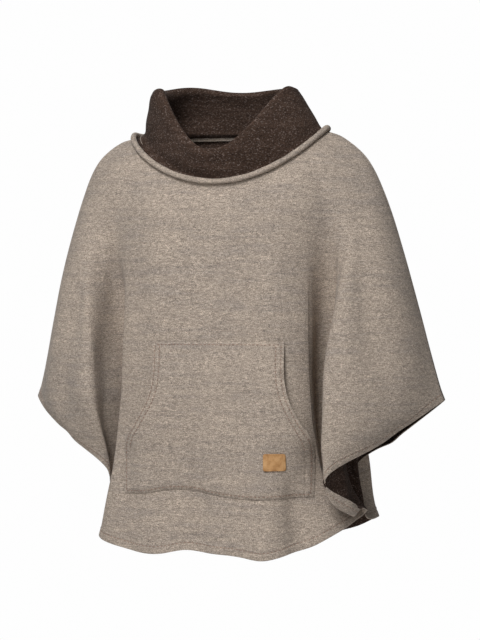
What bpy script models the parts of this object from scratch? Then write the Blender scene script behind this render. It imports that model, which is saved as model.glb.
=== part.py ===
"""A felted wool poncho, filled out and hollow: front panel, back panel, funnel collar, neck binding,
kangaroo pocket and blank leather tab. Metres, +Z up, the front faces -Y, and the origin is the middle
of the neck at the height of the shoulder points.
"""

import functools
import math

import bmesh
import bpy
from mathutils import Vector

# Cloth and seams
WALL = 0.003
SEAM_GAP = 0.0003

# Neck seam
NECK_HALF_WIDTH = 0.156
NECK_FRONT = 0.105
NECK_BACK = 0.100
NECK_FRONT_DROP = 0.0875
NECK_BACK_DROP = 0.003
NECK_DIP_POWER = 1.6
NECK_RIGHT_OUT = 0.004
NECK_RIGHT_DROP = 0.006
BINDING_RADIUS = 0.0046
BINDING_SIDES = 8

# Collar, from the neck seam up to its folded rim; the angles are from the front
COLLAR_WALL = 0.0055
RIM_HALF_WIDTH = 0.117
RIM_MIDDLE = -0.032
RIM_DEPTH = 0.090
RIM_SIDE_HEIGHT = 0.068
RIM_BACK_HEIGHT = 0.072
RIM_FRONT_HEIGHT = -0.034
RIM_SLUMP_LEFT = 78.0
RIM_SLUMP_RIGHT = 54.0
RIM_LOWEST_ANGLE = -6.0
COLLAR_TUCK = 0.006
COLLAR_TUCK_HEIGHT = 0.12
COLLAR_TUCK_SIDES = 0.6
COLLAR_LEVEL_HEIGHT = 0.3
COLLAR_SWELL = 0.003
COLLAR_SWELL_HEIGHT = 0.85
COLLAR_SWELL_REACH = 0.2

# Panels
HEM_FRONT = 0.685
HEM_BACK = 0.685
BREAST_SHARE = 0.58
BREAST_TURN = 0.22
HEIGHT_POWER = 0.7
TIP_SHARPNESS = 0.6
HEM_TILT = 0.012
HEM_CORNER = 0.21
LEFT_EDGE_IN = 0.010
LEFT_EDGE_BACK = 0.020
RIGHT_OUT = {"turn": 0.016, "ridge": 0.030}
RIGHT_RISE = 0.008
RIGHT_HEM_OUT = {"turn": -0.009, "ridge": 0.022}
RIGHT_HEM_BACK = {"turn": 0.047, "ridge": 0.059}

# The lip that the left arm opening's edge turns up, in front
LIP_DROP = 0.038
LIP_BACK = 0.0105
LIP_INWARD = 0.004

# Pocket and tab
POCKET_WALL = 0.0025
POCKET_TOP = -0.344
POCKET_BOTTOM = -0.593
POCKET_BULGE = 0.0078
POCKET_GAPE = 1.0
POCKET_ROUNDING = 0.7
LAID_GAP = 3 * SEAM_GAP
TAB_WIDTH = 0.033
TAB_HEIGHT = 0.027
TAB_WALL = 0.0014
TAB_CENTRE = (0.098, -0.535)

# Sections of the wearer's left half, in millimetres, from the neck seam (share 0) down to the free
# edge (share 1). Centre is the middle of the panel, edge is where the body turns away, fold is the
# bottom of the valley beside the body, turn is the valley's other wall, ridge is the fold of the
# wing that hangs beside it, arm is the middle of the wing's face and side is the overarm seam.
FACE_NAMES = (
    "share", "centre_y", "edge_x", "edge_y", "fold_x", "fold_y",
    "turn_x", "turn_y", "ridge_x", "ridge_y", "arm_x", "arm_y",
)
FRONT_ROWS = (
    (0.08, -113, 126, -92, 158, -72, 166, -63, 173, -53, 182, -29),
    (0.18, -118, 144, -95, 177, -74, 189, -67, 200, -59, 217, -35),
    (0.32, -119, 158, -94, 183, -66, 198, -67, 213, -70, 245, -42),
    (0.48, -115, 168, -89, 176, -42, 188, -63, 198, -88, 262, -56),
    (0.65, -111, 175, -82, 167, -20, 181, -56, 179, -100, 273, -66),
    (0.82, -111, 187, -76, 170, -4, 191, -54, 175, -106, 281, -66),
    (0.93, -115, 201, -67, 186, 13, 209, -48, 174, -107, 277, -58),
    (1.00, -119, 211, -58, 218, 36.8, 215, -52, 176, -104, 264, -42),
)
BACK_ROWS = (
    (0.08, 110, 126, 89, 158, 70, 166, 61, 173, 51, 182, 28),
    (0.18, 122, 144, 99, 177, 79, 189, 72, 200, 63, 217, 39),
    (0.32, 131, 158, 107, 184, 83, 199, 84, 213, 84, 245, 56),
    (0.48, 137, 169, 115, 175, 84, 194, 92, 207, 102, 262, 78),
    (0.65, 143, 179, 125, 163, 82, 183, 90, 196, 107, 273, 96),
    (0.82, 151, 203, 141, 160, 94, 182, 92, 194, 104, 281, 100),
    (0.93, 158, 210, 148, 170, 88, 190, 80, 193, 98, 277, 94),
    (1.00, 164, 216, 150, 218, 43.2, 203, 72, 189, 96, 264, 80),
)
SIDE_NAMES = ("share", "x", "y", "z")
SIDE_ROWS = (
    (0.08, 189, -4, -13),
    (0.18, 228, -6, -48),
    (0.32, 257, 2, -108),
    (0.48, 284, 14, -195),
    (0.65, 308, 25, -285),
    (0.82, 330, 32, -370),
    (0.93, 343, 35, -418),
    (1.00, 351, 36, -440),
)
# Each line that the sections carry from the neck to the free edge: its place along the panel, its
# angle on the neck, and how far it ends from the side's height towards the centre's
LINE_NAMES = ("line", "place", "angle", "front_end", "back_end")
LINE_ROWS = (
    ("centre", 0.00, 0.0, 1.00, 1.00),
    ("breast", 0.20, 22.0, 1.00, 1.00),
    ("edge", 0.36, 40.0, 0.887, 0.887),
    ("fold", 0.49, 55.0, 0.789, 0.798),
    ("turn", 0.57, 61.0, 0.664, 0.640),
    ("ridge", 0.66, 66.0, 0.528, 0.500),
    ("arm", 0.83, 78.0, 0.264, 0.265),
    ("side", 1.00, 90.0, 0.00, 0.00),
)
# Soft troughs that run down to the hem: the wearer's left is +X, depth is into the body
TROUGH_NAMES = ("face", "x", "slant", "width", "depth", "rise", "start")
TROUGH_ROWS = (
    ("front", -0.030, -0.02, 0.035, 0.010, 0.007, 0.62),
    ("front", 0.050, 0.03, 0.030, -0.006, -0.006, 0.66),
    ("front", 0.112, 0.03, 0.024, 0.009, 0.000, 0.70),
    ("front", -0.125, -0.03, 0.026, 0.006, 0.000, 0.66),
    ("back", -0.075, -0.03, 0.035, 0.016, 0.008, 0.45),
    ("back", 0.020, 0.01, 0.030, 0.013, 0.006, 0.52),
    ("back", 0.105, 0.04, 0.030, 0.014, 0.004, 0.48),
)
# The pocket's middle and half width at each height
POCKET_NAMES = ("z", "middle", "half_width")
POCKET_ROWS = (
    (-0.344, 0.006, 0.108),
    (-0.400, 0.006, 0.108),
    (-0.435, 0.005, 0.115),
    (-0.465, 0.003, 0.129),
    (-0.500, 0.000, 0.148),
    (-0.522, -0.002, 0.155),
    (-0.593, -0.003, 0.156),
)

# Mesh steps
PANEL_STEPS = (6, 4, 4, 3, 4, 4, 4)
PANEL_ROWS = (
    0.0, 0.04, 0.09, 0.14, 0.20, 0.26, 0.32, 0.39, 0.46, 0.53,
    0.60, 0.67, 0.74, 0.80, 0.86, 0.91, 0.94, 0.962, 0.982, 1.0,
)
RING_STEPS = 48
COLLAR_STEPS = 6
POCKET_COLUMNS = 20
POCKET_STEPS = 14
TAB_STEPS = 3
SLOPE_STEP = 0.004
CORRECTIONS = 12


def table(names, rows):
    return [dict(zip(names, row)) for row in rows]


FACES = {"front": table(FACE_NAMES, FRONT_ROWS), "back": table(FACE_NAMES, BACK_ROWS)}
SIDE = table(SIDE_NAMES, SIDE_ROWS)
LINES = table(LINE_NAMES, LINE_ROWS)
TROUGHS = table(TROUGH_NAMES, TROUGH_ROWS)
POCKET = table(POCKET_NAMES, POCKET_ROWS)


def smooth_step(low, high, value):
    """0 up to low and 1 from high, or the other way round where high is the lower."""
    share = min(max((value - low) / (high - low), 0.0), 1.0)
    return share * share * (3.0 - 2.0 * share)


def curve_at(knots, values, at):
    """The smooth curve through the values at the knots, each of them a number or a Vector."""
    last = len(knots) - 2
    i = max((k for k in range(last + 1) if knots[k] <= at), default=0)

    def slope(k):
        low = max(k - 1, 0)
        high = min(k + 1, last + 1)
        return (values[high] - values[low]) / (knots[high] - knots[low])

    span = knots[i + 1] - knots[i]
    t = (at - knots[i]) / span
    a = values[i] * (2 * t**3 - 3 * t**2 + 1)
    b = values[i + 1] * (3 * t**2 - 2 * t**3)
    c = slope(i) * (span * (t**3 - 2 * t**2 + t))
    d = slope(i + 1) * (span * (t**3 - t**2))
    return a + b + c + d


def neck_point(angle):
    """The neck seam, at this angle in degrees from the front, towards the wearer's left."""
    turn = math.radians(angle)
    ahead = math.cos(turn)
    depth, drop = (NECK_FRONT, NECK_FRONT_DROP) if ahead > 0 else (NECK_BACK, NECK_BACK_DROP)
    dip = abs(ahead) ** NECK_DIP_POWER
    point = Vector((NECK_HALF_WIDTH * math.sin(turn), -depth * ahead, -drop * dip))
    return point + neck_slip(angle) if math.sin(turn) < 0 else point


def neck_slip(angle):
    """The wearer's right of the neck has slipped a little outwards and down."""
    share = math.sin(math.radians(angle)) ** 2
    return Vector((-NECK_RIGHT_OUT * share, 0.0, -NECK_RIGHT_DROP * share))


def line_points(line, face):
    """The points of one line down the wearer's left half, one at the neck and one on each section."""
    name = line["line"]
    angle = line["angle"] if face == "front" else 180.0 - line["angle"]
    points = [neck_point(angle)]
    neck_height = abs(math.cos(math.radians(angle))) ** NECK_DIP_POWER
    drop, hem = (NECK_FRONT_DROP, HEM_FRONT) if face == "front" else (NECK_BACK_DROP, HEM_BACK)
    for row, side in zip(FACES[face], SIDE):
        if name == "centre":
            x, y = 0.0, row["centre_y"]
        elif name == "breast":
            x = BREAST_SHARE * row["edge_x"]
            y = row["centre_y"] + BREAST_TURN * (row["edge_y"] - row["centre_y"])
        elif name == "side":
            x, y = side["x"], side["y"]
        else:
            x, y = row[name + "_x"], row[name + "_y"]
        height = neck_height + (line[face + "_end"] - neck_height) * row["share"] ** HEIGHT_POWER
        centre_z = -drop - (hem - drop) * row["share"]
        side_z = side["z"] / 1000
        z = side_z + (centre_z - side_z) * height
        points.append(Vector((x / 1000, y / 1000, z)))
    return points


SHARES = [0.0] + [side["share"] for side in SIDE]
LINE_LIST = [line["line"] for line in LINES]
LINE_PLACES = [line["place"] for line in LINES]
PLACE_BEYOND = 2.0 - LINE_PLACES[-2]
SECTION_KNOTS = (
    [-PLACE_BEYOND] + [-place for place in reversed(LINE_PLACES[1:])] + LINE_PLACES + [PLACE_BEYOND]
)
LINE_ANGLES = {line["line"]: line["angle"] for line in LINES}
LINE_POINTS = {(line["line"], face): line_points(line, face) for line in LINES for face in FACES}


def line_at(name, face, side, share):
    """A point of one line, on the wearer's left (side 1) or right (side -1)."""
    point = curve_at(SHARES, LINE_POINTS[name, face], share)
    if side < 0:
        point = Vector((-point.x, point.y, point.z))
        point += neck_slip(LINE_ANGLES[name]) * smooth_step(0.18, 0.0, share)
        if face == "front" and name in RIGHT_OUT:
            out = RIGHT_OUT[name]
            out += (RIGHT_HEM_OUT[name] - out) * smooth_step(0.75, 1.0, share)
            point.x -= out * smooth_step(0.2, 0.6, share)
            point.y += RIGHT_HEM_BACK[name] * smooth_step(0.75, 1.0, share)
            point.z += RIGHT_RISE * smooth_step(0.6, 1.0, share)
    elif name == "edge" and face == "front":
        point.x -= LEFT_EDGE_IN * smooth_step(0.2, 0.6, share)
        point.y += LEFT_EDGE_BACK * smooth_step(0.65, 0.85, share)
    return point


@functools.lru_cache(maxsize=None)
def section_points(face, share):
    """The lines' points across one whole panel, with one more beyond each overarm seam, and the
    curve's direction at each of them, which leans towards the shorter of the two spans beside it."""
    other = "back" if face == "front" else "front"
    points = [line_at(name, face, -1, share) for name in reversed(LINE_LIST[1:])]
    points += [line_at(name, face, 1, share) for name in LINE_LIST]
    sharp = TIP_SHARPNESS * smooth_step(0.3, 1.0, share)
    first = line_at(LINE_LIST[-2], other, -1, share).lerp(2 * points[0] - points[1], sharp)
    last = line_at(LINE_LIST[-2], other, 1, share).lerp(2 * points[-1] - points[-2], sharp)
    points = [first] + points + [last]
    ways = [Vector()]
    for before, here, after in zip(points, points[1:], points[2:]):
        low, high = (here - before).length, (after - here).length
        ways.append(((here - before) * (high / low) + (after - here) * (low / high)) / (low + high))
    return points, ways


def panel_point(face, place, share):
    """The cloth's outer face: place runs from -1 at the right overarm seam to 1 at the left one."""
    points, ways = section_points(face, share)
    i = max((k for k in range(1, len(SECTION_KNOTS) - 2) if SECTION_KNOTS[k] <= place), default=1)
    t = (place - SECTION_KNOTS[i]) / (SECTION_KNOTS[i + 1] - SECTION_KNOTS[i])
    span = (points[i + 1] - points[i]).length
    point = points[i] * (2 * t**3 - 3 * t**2 + 1) + points[i + 1] * (3 * t**2 - 2 * t**3)
    point += ways[i] * (span * (t**3 - 2 * t**2 + t)) + ways[i + 1] * (span * (t**3 - t**2))
    if face == "front" and place > 0:
        down = lip(place) * smooth_step(0.78, 0.95, share) * smooth_step(1.0, 0.97, share)
        back = lip(place) * smooth_step(0.80, 0.94, share) * smooth_step(0.99, 0.955, share)
        point += Vector((-LIP_INWARD * back, LIP_BACK * back, -LIP_DROP * down))
    tilt = max(-1.0, min(1.0, point.x / HEM_CORNER))
    point.z += HEM_TILT * tilt**3 * smooth_step(0.75, 1.0, share) * smooth_step(0.56, 0.40, abs(place))
    inward = 1.0 if face == "front" else -1.0
    for trough in TROUGHS:
        if trough["face"] == face:
            offset = (point.x - trough["x"] - trough["slant"] * share) / trough["width"]
            depth = trough["depth"] * math.exp(-offset * offset)
            grown = smooth_step(trough["start"], 1.0, share)
            point.y += inward * depth * grown
            point.z += trough["rise"] * math.exp(-offset * offset) * grown
    return point


def lip(place):
    """How much of the lip beside the arm opening lies at this place between the fold and the ridge."""
    return smooth_step(0.52, 0.56, place) * smooth_step(0.66, 0.62, place)


def panel_normal(face, place, share):
    low, high = max(share - SLOPE_STEP, 0.0), min(share + SLOPE_STEP, 1.0)
    down = panel_point(face, place, high) - panel_point(face, place, low)
    along = panel_point(face, place + SLOPE_STEP, share) - panel_point(face, place - SLOPE_STEP, share)
    normal = along.cross(down) if face == "back" else down.cross(along)
    return normal.normalized()


def steps_between(marks, counts):
    places = [marks[0]]
    for low, high, count in zip(marks, marks[1:], counts):
        places += [low + (high - low) * (i + 1) / count for i in range(count)]
    return places


HALF_PLACES = steps_between(LINE_PLACES, PANEL_STEPS)
PLACES = [-place for place in reversed(HALF_PLACES[1:])] + HALF_PLACES


def material_of(name, colour, roughness):
    material = bpy.data.materials.new(name)
    material.use_nodes = True
    shader = material.node_tree.nodes["Principled BSDF"]
    shader.inputs["Base Color"].default_value = (*colour, 1.0)
    shader.inputs["Roughness"].default_value = roughness
    shader.inputs["Metallic"].default_value = 0.0
    material.diffuse_color = (*colour, 1.0)
    return material


def add_object(name, bm, material):
    bmesh.ops.recalc_face_normals(bm, faces=bm.faces)
    mesh = bpy.data.meshes.new(name)
    bm.to_mesh(mesh)
    bm.free()
    mesh.shade_smooth()
    obj = bpy.data.objects.new(name, mesh)
    bpy.context.scene.collection.objects.link(obj)
    mesh.materials.append(material)
    return obj


def add_wall(name, columns, rows, outer, inner, material):
    """A sheet with thickness: outer and inner give the point of each column and row."""
    bm = bmesh.new()
    for face_of in (outer, inner):
        made = bmesh.ops.create_grid(bm, x_segments=columns, y_segments=rows, size=1.0)
        for vert in made["verts"]:
            column = round((vert.co.x + 1) / 2 * columns)
            row = round((vert.co.y + 1) / 2 * rows)
            vert.co = face_of(column, row)
    edges = [edge for edge in bm.edges if edge.is_boundary]
    bmesh.ops.bridge_loops(bm, edges=edges)
    return add_object(name, bm, material)


def add_tube(name, around, along, place, material):
    """A closed ring whose section is closed too, so that both ends of the grid meet."""
    bm = bmesh.new()
    made = bmesh.ops.create_grid(bm, x_segments=around, y_segments=along, size=1.0)
    for vert in made["verts"]:
        column = round((vert.co.x + 1) / 2 * around) % around
        row = round((vert.co.y + 1) / 2 * along) % along
        vert.co = place(column, row)
    bmesh.ops.remove_doubles(bm, verts=bm.verts, dist=1e-6)
    return add_object(name, bm, material)


@functools.lru_cache(maxsize=None)
def panel_grid(face):
    """The outer face's points by column and row. The top row stops a seam's gap short of the neck."""
    top = SEAM_GAP / (HEM_FRONT - NECK_FRONT_DROP)
    shares = [top + (1.0 - top) * share for share in reversed(PANEL_ROWS)]
    return [[panel_point(face, place, share) for share in shares] for place in PLACES]


def grid_normal(face, column, row):
    points = panel_grid(face)
    left, right = max(column - 1, 0), min(column + 1, len(PLACES) - 1)
    low, high = max(row - 1, 0), min(row + 1, len(PANEL_ROWS) - 1)
    along = points[right][row] - points[left][row]
    up = points[column][high] - points[column][low]
    normal = along.cross(up) if face == "front" else up.cross(along)
    return normal.normalized()


def add_panel(name, face, material):
    """At the overarm seams both panels are cut on one mitre, half a seam's gap from the middle."""
    apart = Vector((0.0, -SEAM_GAP / 2 if face == "front" else SEAM_GAP / 2, 0.0))

    def outer(column, row):
        point = panel_grid(face)[column][row]
        return point + apart if abs(PLACES[column]) == 1.0 else point

    def inner(column, row):
        normal = grid_normal(face, column, row)
        if abs(PLACES[column]) < 1.0:
            return outer(column, row) - WALL * normal
        mitre = (grid_normal("front", column, row) + grid_normal("back", column, row)).normalized()
        return outer(column, row) - mitre * (WALL / mitre.dot(normal))

    return add_wall(name, len(PLACES) - 1, len(PANEL_ROWS) - 1, outer, inner, material)


def rim_point(angle):
    turn = math.radians(angle)
    ahead = math.cos(turn)
    turned = (angle + 180.0) % 360.0 - 180.0
    if turned > 0:
        rise = smooth_step(0.0, RIM_SLUMP_LEFT, turned)
    else:
        rise = smooth_step(0.0, RIM_SLUMP_RIGHT, RIM_LOWEST_ANGLE - turned)
    top = RIM_SIDE_HEIGHT + (RIM_BACK_HEIGHT - RIM_SIDE_HEIGHT) * (1.0 - ahead) / 2
    z = RIM_FRONT_HEIGHT + (top - RIM_FRONT_HEIGHT) * rise
    return Vector((RIM_HALF_WIDTH * math.sin(turn), RIM_MIDDLE - RIM_DEPTH * ahead, z))


def ring_outward(angle):
    turn = math.radians(angle)
    return Vector((math.sin(turn) / NECK_HALF_WIDTH, -math.cos(turn) / NECK_FRONT, 0.0)).normalized()


def collar_point(angle, height):
    """The collar's outer face, from the neck seam (height 0) to the rim (height 1)."""
    low = neck_point(angle)
    high = rim_point(angle)
    point = low.lerp(high, height)
    righter = 1.0 - COLLAR_TUCK_SIDES * math.sin(math.radians(angle))
    low_share = height / COLLAR_TUCK_HEIGHT
    tuck = COLLAR_TUCK * righter * low_share * math.exp(1.0 - low_share)
    swell = COLLAR_SWELL * righter * math.exp(-(((height - COLLAR_SWELL_HEIGHT) / COLLAR_SWELL_REACH) ** 2))
    return point + ring_outward(angle) * (swell - tuck)


def collar_normal(angle, height):
    step = 1.0
    along = collar_point(angle + step, height) - collar_point(angle - step, height)
    up = collar_point(angle, min(height + 0.02, 1.0)) - collar_point(angle, max(height - 0.02, 0.0))
    above_seam = smooth_step(0.0, COLLAR_LEVEL_HEIGHT, height)
    return ring_outward(angle).lerp(along.cross(up).normalized(), above_seam).normalized()


def add_collar(material):
    """The profile runs up the outer face, round the folded rim and down the inner face."""
    heights = [SEAM_GAP * 4 + (1 - SEAM_GAP * 4) * i / COLLAR_STEPS for i in range(COLLAR_STEPS + 1)]
    profile = [(height, 0.0, 0.0) for height in heights]
    profile += [(1.0, 0.5, 0.5)]
    profile += [(height, 1.0, 0.0) for height in reversed(heights)]

    def place(column, row):
        angle = 360.0 * column / RING_STEPS
        height, depth, crown = profile[row]
        point = collar_point(angle, height)
        up = (rim_point(angle) - neck_point(angle)).normalized()
        return point - collar_normal(angle, height) * COLLAR_WALL * depth + up * COLLAR_WALL * crown

    return add_tube("collar", RING_STEPS, len(profile), place, material)


def neck_panel_normal(angle):
    """The panels' outward direction at the neck seam."""
    face = "front" if math.cos(math.radians(angle)) >= 0 else "back"
    side = 1.0 if math.sin(math.radians(angle)) >= 0 else -1.0
    turned = abs((angle + 180.0) % 360.0 - 180.0)
    off_centre = turned if face == "front" else 180.0 - turned
    angles = [line["angle"] for line in LINES]
    place = curve_at(angles, LINE_PLACES, min(off_centre, 90.0))
    return panel_normal(face, side * min(place, 1.0), SLOPE_STEP)


def add_binding(material):
    """A padded roll over the neck seam, in the angle between the panels and the collar."""
    reach = BINDING_RADIUS + 3 * SEAM_GAP
    def centre(angle):
        panel = neck_panel_normal(angle)
        collar = collar_normal(angle, 0.0)
        half = math.acos(max(-1.0, min(1.0, panel.dot(collar)))) / 2
        return neck_point(angle) + (panel + collar).normalized() * reach / math.cos(half)

    def place(column, row):
        angle = 360.0 * column / RING_STEPS
        middle = centre(angle)
        along = (centre(angle + 1.0) - centre(angle - 1.0)).normalized()
        out = ring_outward(angle)
        out = (out - along * out.dot(along)).normalized()
        up = along.cross(out)
        turn = 2 * math.pi * row / BINDING_SIDES
        return middle + BINDING_RADIUS * (out * math.cos(turn) + up * math.sin(turn))

    return add_tube("neck_binding", RING_STEPS, BINDING_SIDES, place, material)


def front_share_place(x, z):
    """Where the front panel's outer face has this x and z, found by a few corrections."""
    edge = next(line["place"] for line in LINES if line["line"] == "edge")
    place = edge * x / POCKET[0]["half_width"] / 2
    share = (-z - NECK_FRONT_DROP) / (HEM_FRONT - NECK_FRONT_DROP)
    for _ in range(CORRECTIONS):
        point = panel_point("front", place, share)
        across = (panel_point("front", place + SLOPE_STEP, share) - point) / SLOPE_STEP
        down = (panel_point("front", place, min(share + SLOPE_STEP, 1.0)) - point) / SLOPE_STEP
        wrong_x, wrong_z = x - point.x, z - point.z
        size = across.x * down.z - across.z * down.x
        place += (wrong_x * down.z - wrong_z * down.x) / size
        share += (wrong_z * across.x - wrong_x * across.z) / size
    return place, share


def pocket_size(name, z):
    return curve_at([-row["z"] for row in POCKET], [row[name] for row in POCKET], -z)


def pocket_lift(across, down):
    """How far the pocket stands off the panel: not at its top, foot and lower sides, most at its mouths."""
    sewn = max(math.sin(math.pi * down), 0.0) ** POCKET_ROUNDING
    foot = 1.0 - smooth_step(0.60, 0.78, down)
    side = abs(across)
    closed_side = 1.0 - smooth_step(0.80, 1.0, side)
    open_side = 1.0 + POCKET_GAPE * smooth_step(0.3, 1.0, side)
    share = open_side * foot + closed_side * (1.0 - foot)
    return POCKET_BULGE * sewn * share


def pocket_base(across, down):
    z = POCKET_TOP + (POCKET_BOTTOM - POCKET_TOP) * down
    x = pocket_size("middle", z) + across * pocket_size("half_width", z)
    place, share = front_share_place(x, z)
    return panel_point("front", place, share), panel_normal("front", place, share)


def pocket_face(across, down, out):
    point, normal = pocket_base(across, down)
    return point + normal * (LAID_GAP + pocket_lift(across, down) + out)


def add_pocket(material):
    def at(column, row, out):
        across = 2.0 * column / POCKET_COLUMNS - 1.0
        down = 1.0 - row / POCKET_STEPS
        return pocket_face(across, down, out)

    return add_wall(
        "kangaroo_pocket",
        POCKET_COLUMNS,
        POCKET_STEPS,
        lambda column, row: at(column, row, POCKET_WALL),
        lambda column, row: at(column, row, 0.0),
        material,
    )


def add_tab(material):
    """A blank leather tab on the pocket's lower left corner, as the wearer has it."""
    middle_x, middle_z = TAB_CENTRE

    def at(column, row, out):
        z = middle_z + TAB_HEIGHT * (row / TAB_STEPS - 0.5)
        x = middle_x + TAB_WIDTH * (column / TAB_STEPS - 0.5)
        down = (z - POCKET_TOP) / (POCKET_BOTTOM - POCKET_TOP)
        across = (x - pocket_size("middle", z)) / pocket_size("half_width", z)
        return pocket_face(across, down, POCKET_WALL + LAID_GAP + out)

    return add_wall(
        "leather_tab",
        TAB_STEPS,
        TAB_STEPS,
        lambda column, row: at(column, row, TAB_WALL),
        lambda column, row: at(column, row, 0.0),
        material,
    )


def main():
    for obj in list(bpy.data.objects):
        bpy.data.objects.remove(obj)
    felt = material_of("beige_felt", (0.36, 0.30, 0.25), 0.95)
    brown = material_of("brown_felt", (0.05, 0.033, 0.025), 0.95)
    leather = material_of("tan_leather", (0.52, 0.28, 0.10), 0.6)
    add_panel("front_panel", "front", felt)
    add_panel("back_panel", "back", felt)
    add_collar(brown)
    add_binding(felt)
    add_pocket(felt)
    add_tab(leather)


main()
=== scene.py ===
"""A felted wool poncho, filled out and hollow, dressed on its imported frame: the two panels with their hems
and creases, the funnel collar, the neck binding, the kangaroo pocket, the blank leather tab and the
hems' and the pocket's stitching. Metres, +Z up, the front faces -Y. The stage is a pale floor, soft
lights and a camera.
"""

import functools
import math

import bmesh
import bpy
import numpy as np
from mathutils import Matrix, Vector, noise
from mathutils.bvhtree import BVHTree


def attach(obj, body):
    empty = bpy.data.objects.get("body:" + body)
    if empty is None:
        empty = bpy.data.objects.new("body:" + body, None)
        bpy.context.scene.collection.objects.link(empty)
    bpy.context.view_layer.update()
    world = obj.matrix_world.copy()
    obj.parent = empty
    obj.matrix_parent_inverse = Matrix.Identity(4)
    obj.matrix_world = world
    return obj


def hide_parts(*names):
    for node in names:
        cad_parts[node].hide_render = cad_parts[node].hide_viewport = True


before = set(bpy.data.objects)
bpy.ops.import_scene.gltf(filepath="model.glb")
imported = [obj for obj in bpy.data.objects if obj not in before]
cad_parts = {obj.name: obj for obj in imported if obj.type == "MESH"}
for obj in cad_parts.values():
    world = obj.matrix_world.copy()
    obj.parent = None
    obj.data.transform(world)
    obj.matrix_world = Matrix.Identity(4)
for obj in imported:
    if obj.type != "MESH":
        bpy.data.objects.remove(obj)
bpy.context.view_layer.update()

bl_info = {
    "name": "Wool poncho",
    "version": (1, 0, 0),
    "blender": (4, 5, 0),
    "location": "View3D > Sidebar > Poncho",
    "description": "Makes a felted wool poncho with its collar, pocket, stitching and stage",
    "category": "Object",
}

# Cloth and seams
WALL = 0.003
SEAM_GAP = 0.0003

# Neck seam
NECK_HALF_WIDTH = 0.156
NECK_FRONT = 0.105
NECK_BACK = 0.100
NECK_FRONT_DROP = 0.0875
NECK_BACK_DROP = 0.003
NECK_DIP_POWER = 1.6
NECK_RIGHT_OUT = 0.004
NECK_RIGHT_DROP = 0.006
BINDING_RADIUS = 0.0046

# Collar, from the neck seam up to its folded rim; the angles are from the front
COLLAR_WALL = 0.0055
RIM_HALF_WIDTH = 0.117
RIM_MIDDLE = -0.032
RIM_DEPTH = 0.090
RIM_SIDE_HEIGHT = 0.068
RIM_BACK_HEIGHT = 0.072
RIM_FRONT_HEIGHT = -0.034
RIM_SLUMP_LEFT = 78.0
RIM_SLUMP_RIGHT = 63.0
RIM_LOWEST_ANGLE = -6.0
COLLAR_TUCK = 0.006
COLLAR_TUCK_HEIGHT = 0.12
COLLAR_TUCK_SIDES = 0.6
COLLAR_LEVEL_HEIGHT = 0.3
COLLAR_SWELL = 0.003
COLLAR_SWELL_HEIGHT = 0.85
COLLAR_SWELL_REACH = 0.2

# Panels
HEM_FRONT = 0.685
HEM_BACK = 0.685
BREAST_SHARE = 0.58
BREAST_TURN = 0.22
HEIGHT_POWER = 0.7
TIP_SHARPNESS = 0.6
TIP_SHARP_SHARES = (0.3, 1.0)
HEM_TILT = 0.012
HEM_TILT_SHARES = (0.75, 1.0)
HEM_TILT_PLACES = (0.56, 0.40)
HEM_CORNER = 0.21
LEFT_EDGE_IN = 0.010
LEFT_EDGE_BACK = 0.020
LEFT_EDGE_BACK_SHARES = (0.65, 0.85)
EDGE_OUT_SHARES = (0.2, 0.6)
RIGHT_OUT = {"turn": 0.016, "ridge": 0.030}
RIGHT_RISE = 0.008
RIGHT_RISE_SHARES = (0.6, 1.0)
RIGHT_HEM_SHARES = (0.75, 1.0)
RIGHT_HEM_OUT = {"turn": -0.009, "ridge": 0.022}
RIGHT_HEM_BACK = {"turn": 0.047, "ridge": 0.059}

# The lip that the left arm opening's edge turns up, in front
LIP_DROP = 0.038
LIP_BACK = 0.0105
LIP_INWARD = 0.004
LIP_PLACES = ((0.49, 0.57), (0.67, 0.62))
LIP_DROP_SHARES = ((0.78, 0.95), (1.0, 0.97))
LIP_BACK_SHARES = ((0.80, 0.94), (0.99, 0.955))

# Pocket and tab
POCKET_WALL = 0.0025
POCKET_TOP = -0.344
POCKET_BOTTOM = -0.593
POCKET_BULGE = 0.0078
POCKET_GAPE = 1.0
POCKET_ROUNDING = 0.7
POCKET_FOOT_CLOSES = (0.60, 0.78)
POCKET_SIDE_CLOSES = (0.80, 1.0)
POCKET_SIDE_OPENS = (0.3, 1.0)
LAID_GAP = 3 * SEAM_GAP
TAB_WIDTH = 0.033
TAB_HEIGHT = 0.027
TAB_WALL = 0.0014
TAB_CENTRE = (0.098, -0.535)

# Sections of the wearer's left half, in millimetres, from the neck seam (share 0) down to the free
# edge (share 1). Centre is the middle of the panel, edge is where the body turns away, fold is the
# bottom of the valley beside the body, turn is the valley's other wall, ridge is the fold of the
# wing that hangs beside it, arm is the middle of the wing's face and side is the overarm seam.
FACE_NAMES = (
    "share", "centre_y", "edge_x", "edge_y", "fold_x", "fold_y",
    "turn_x", "turn_y", "ridge_x", "ridge_y", "arm_x", "arm_y",
)
FRONT_ROWS = (
    (0.08, -113, 126, -92, 158, -72, 166, -63, 173, -53, 182, -29),
    (0.18, -118, 144, -95, 177, -74, 189, -67, 200, -59, 217, -35),
    (0.32, -119, 158, -94, 183, -66, 198, -67, 213, -70, 245, -42),
    (0.48, -115, 168, -89, 176, -42, 188, -63, 198, -88, 262, -56),
    (0.65, -111, 175, -82, 167, -20, 181, -56, 179, -100, 273, -66),
    (0.82, -111, 187, -76, 170, -4, 191, -54, 175, -106, 281, -66),
    (0.93, -115, 201, -67, 186, 13, 209, -48, 174, -107, 277, -58),
    (1.00, -119, 211, -58, 218, 36.8, 215, -52, 176, -104, 264, -42),
)
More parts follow.
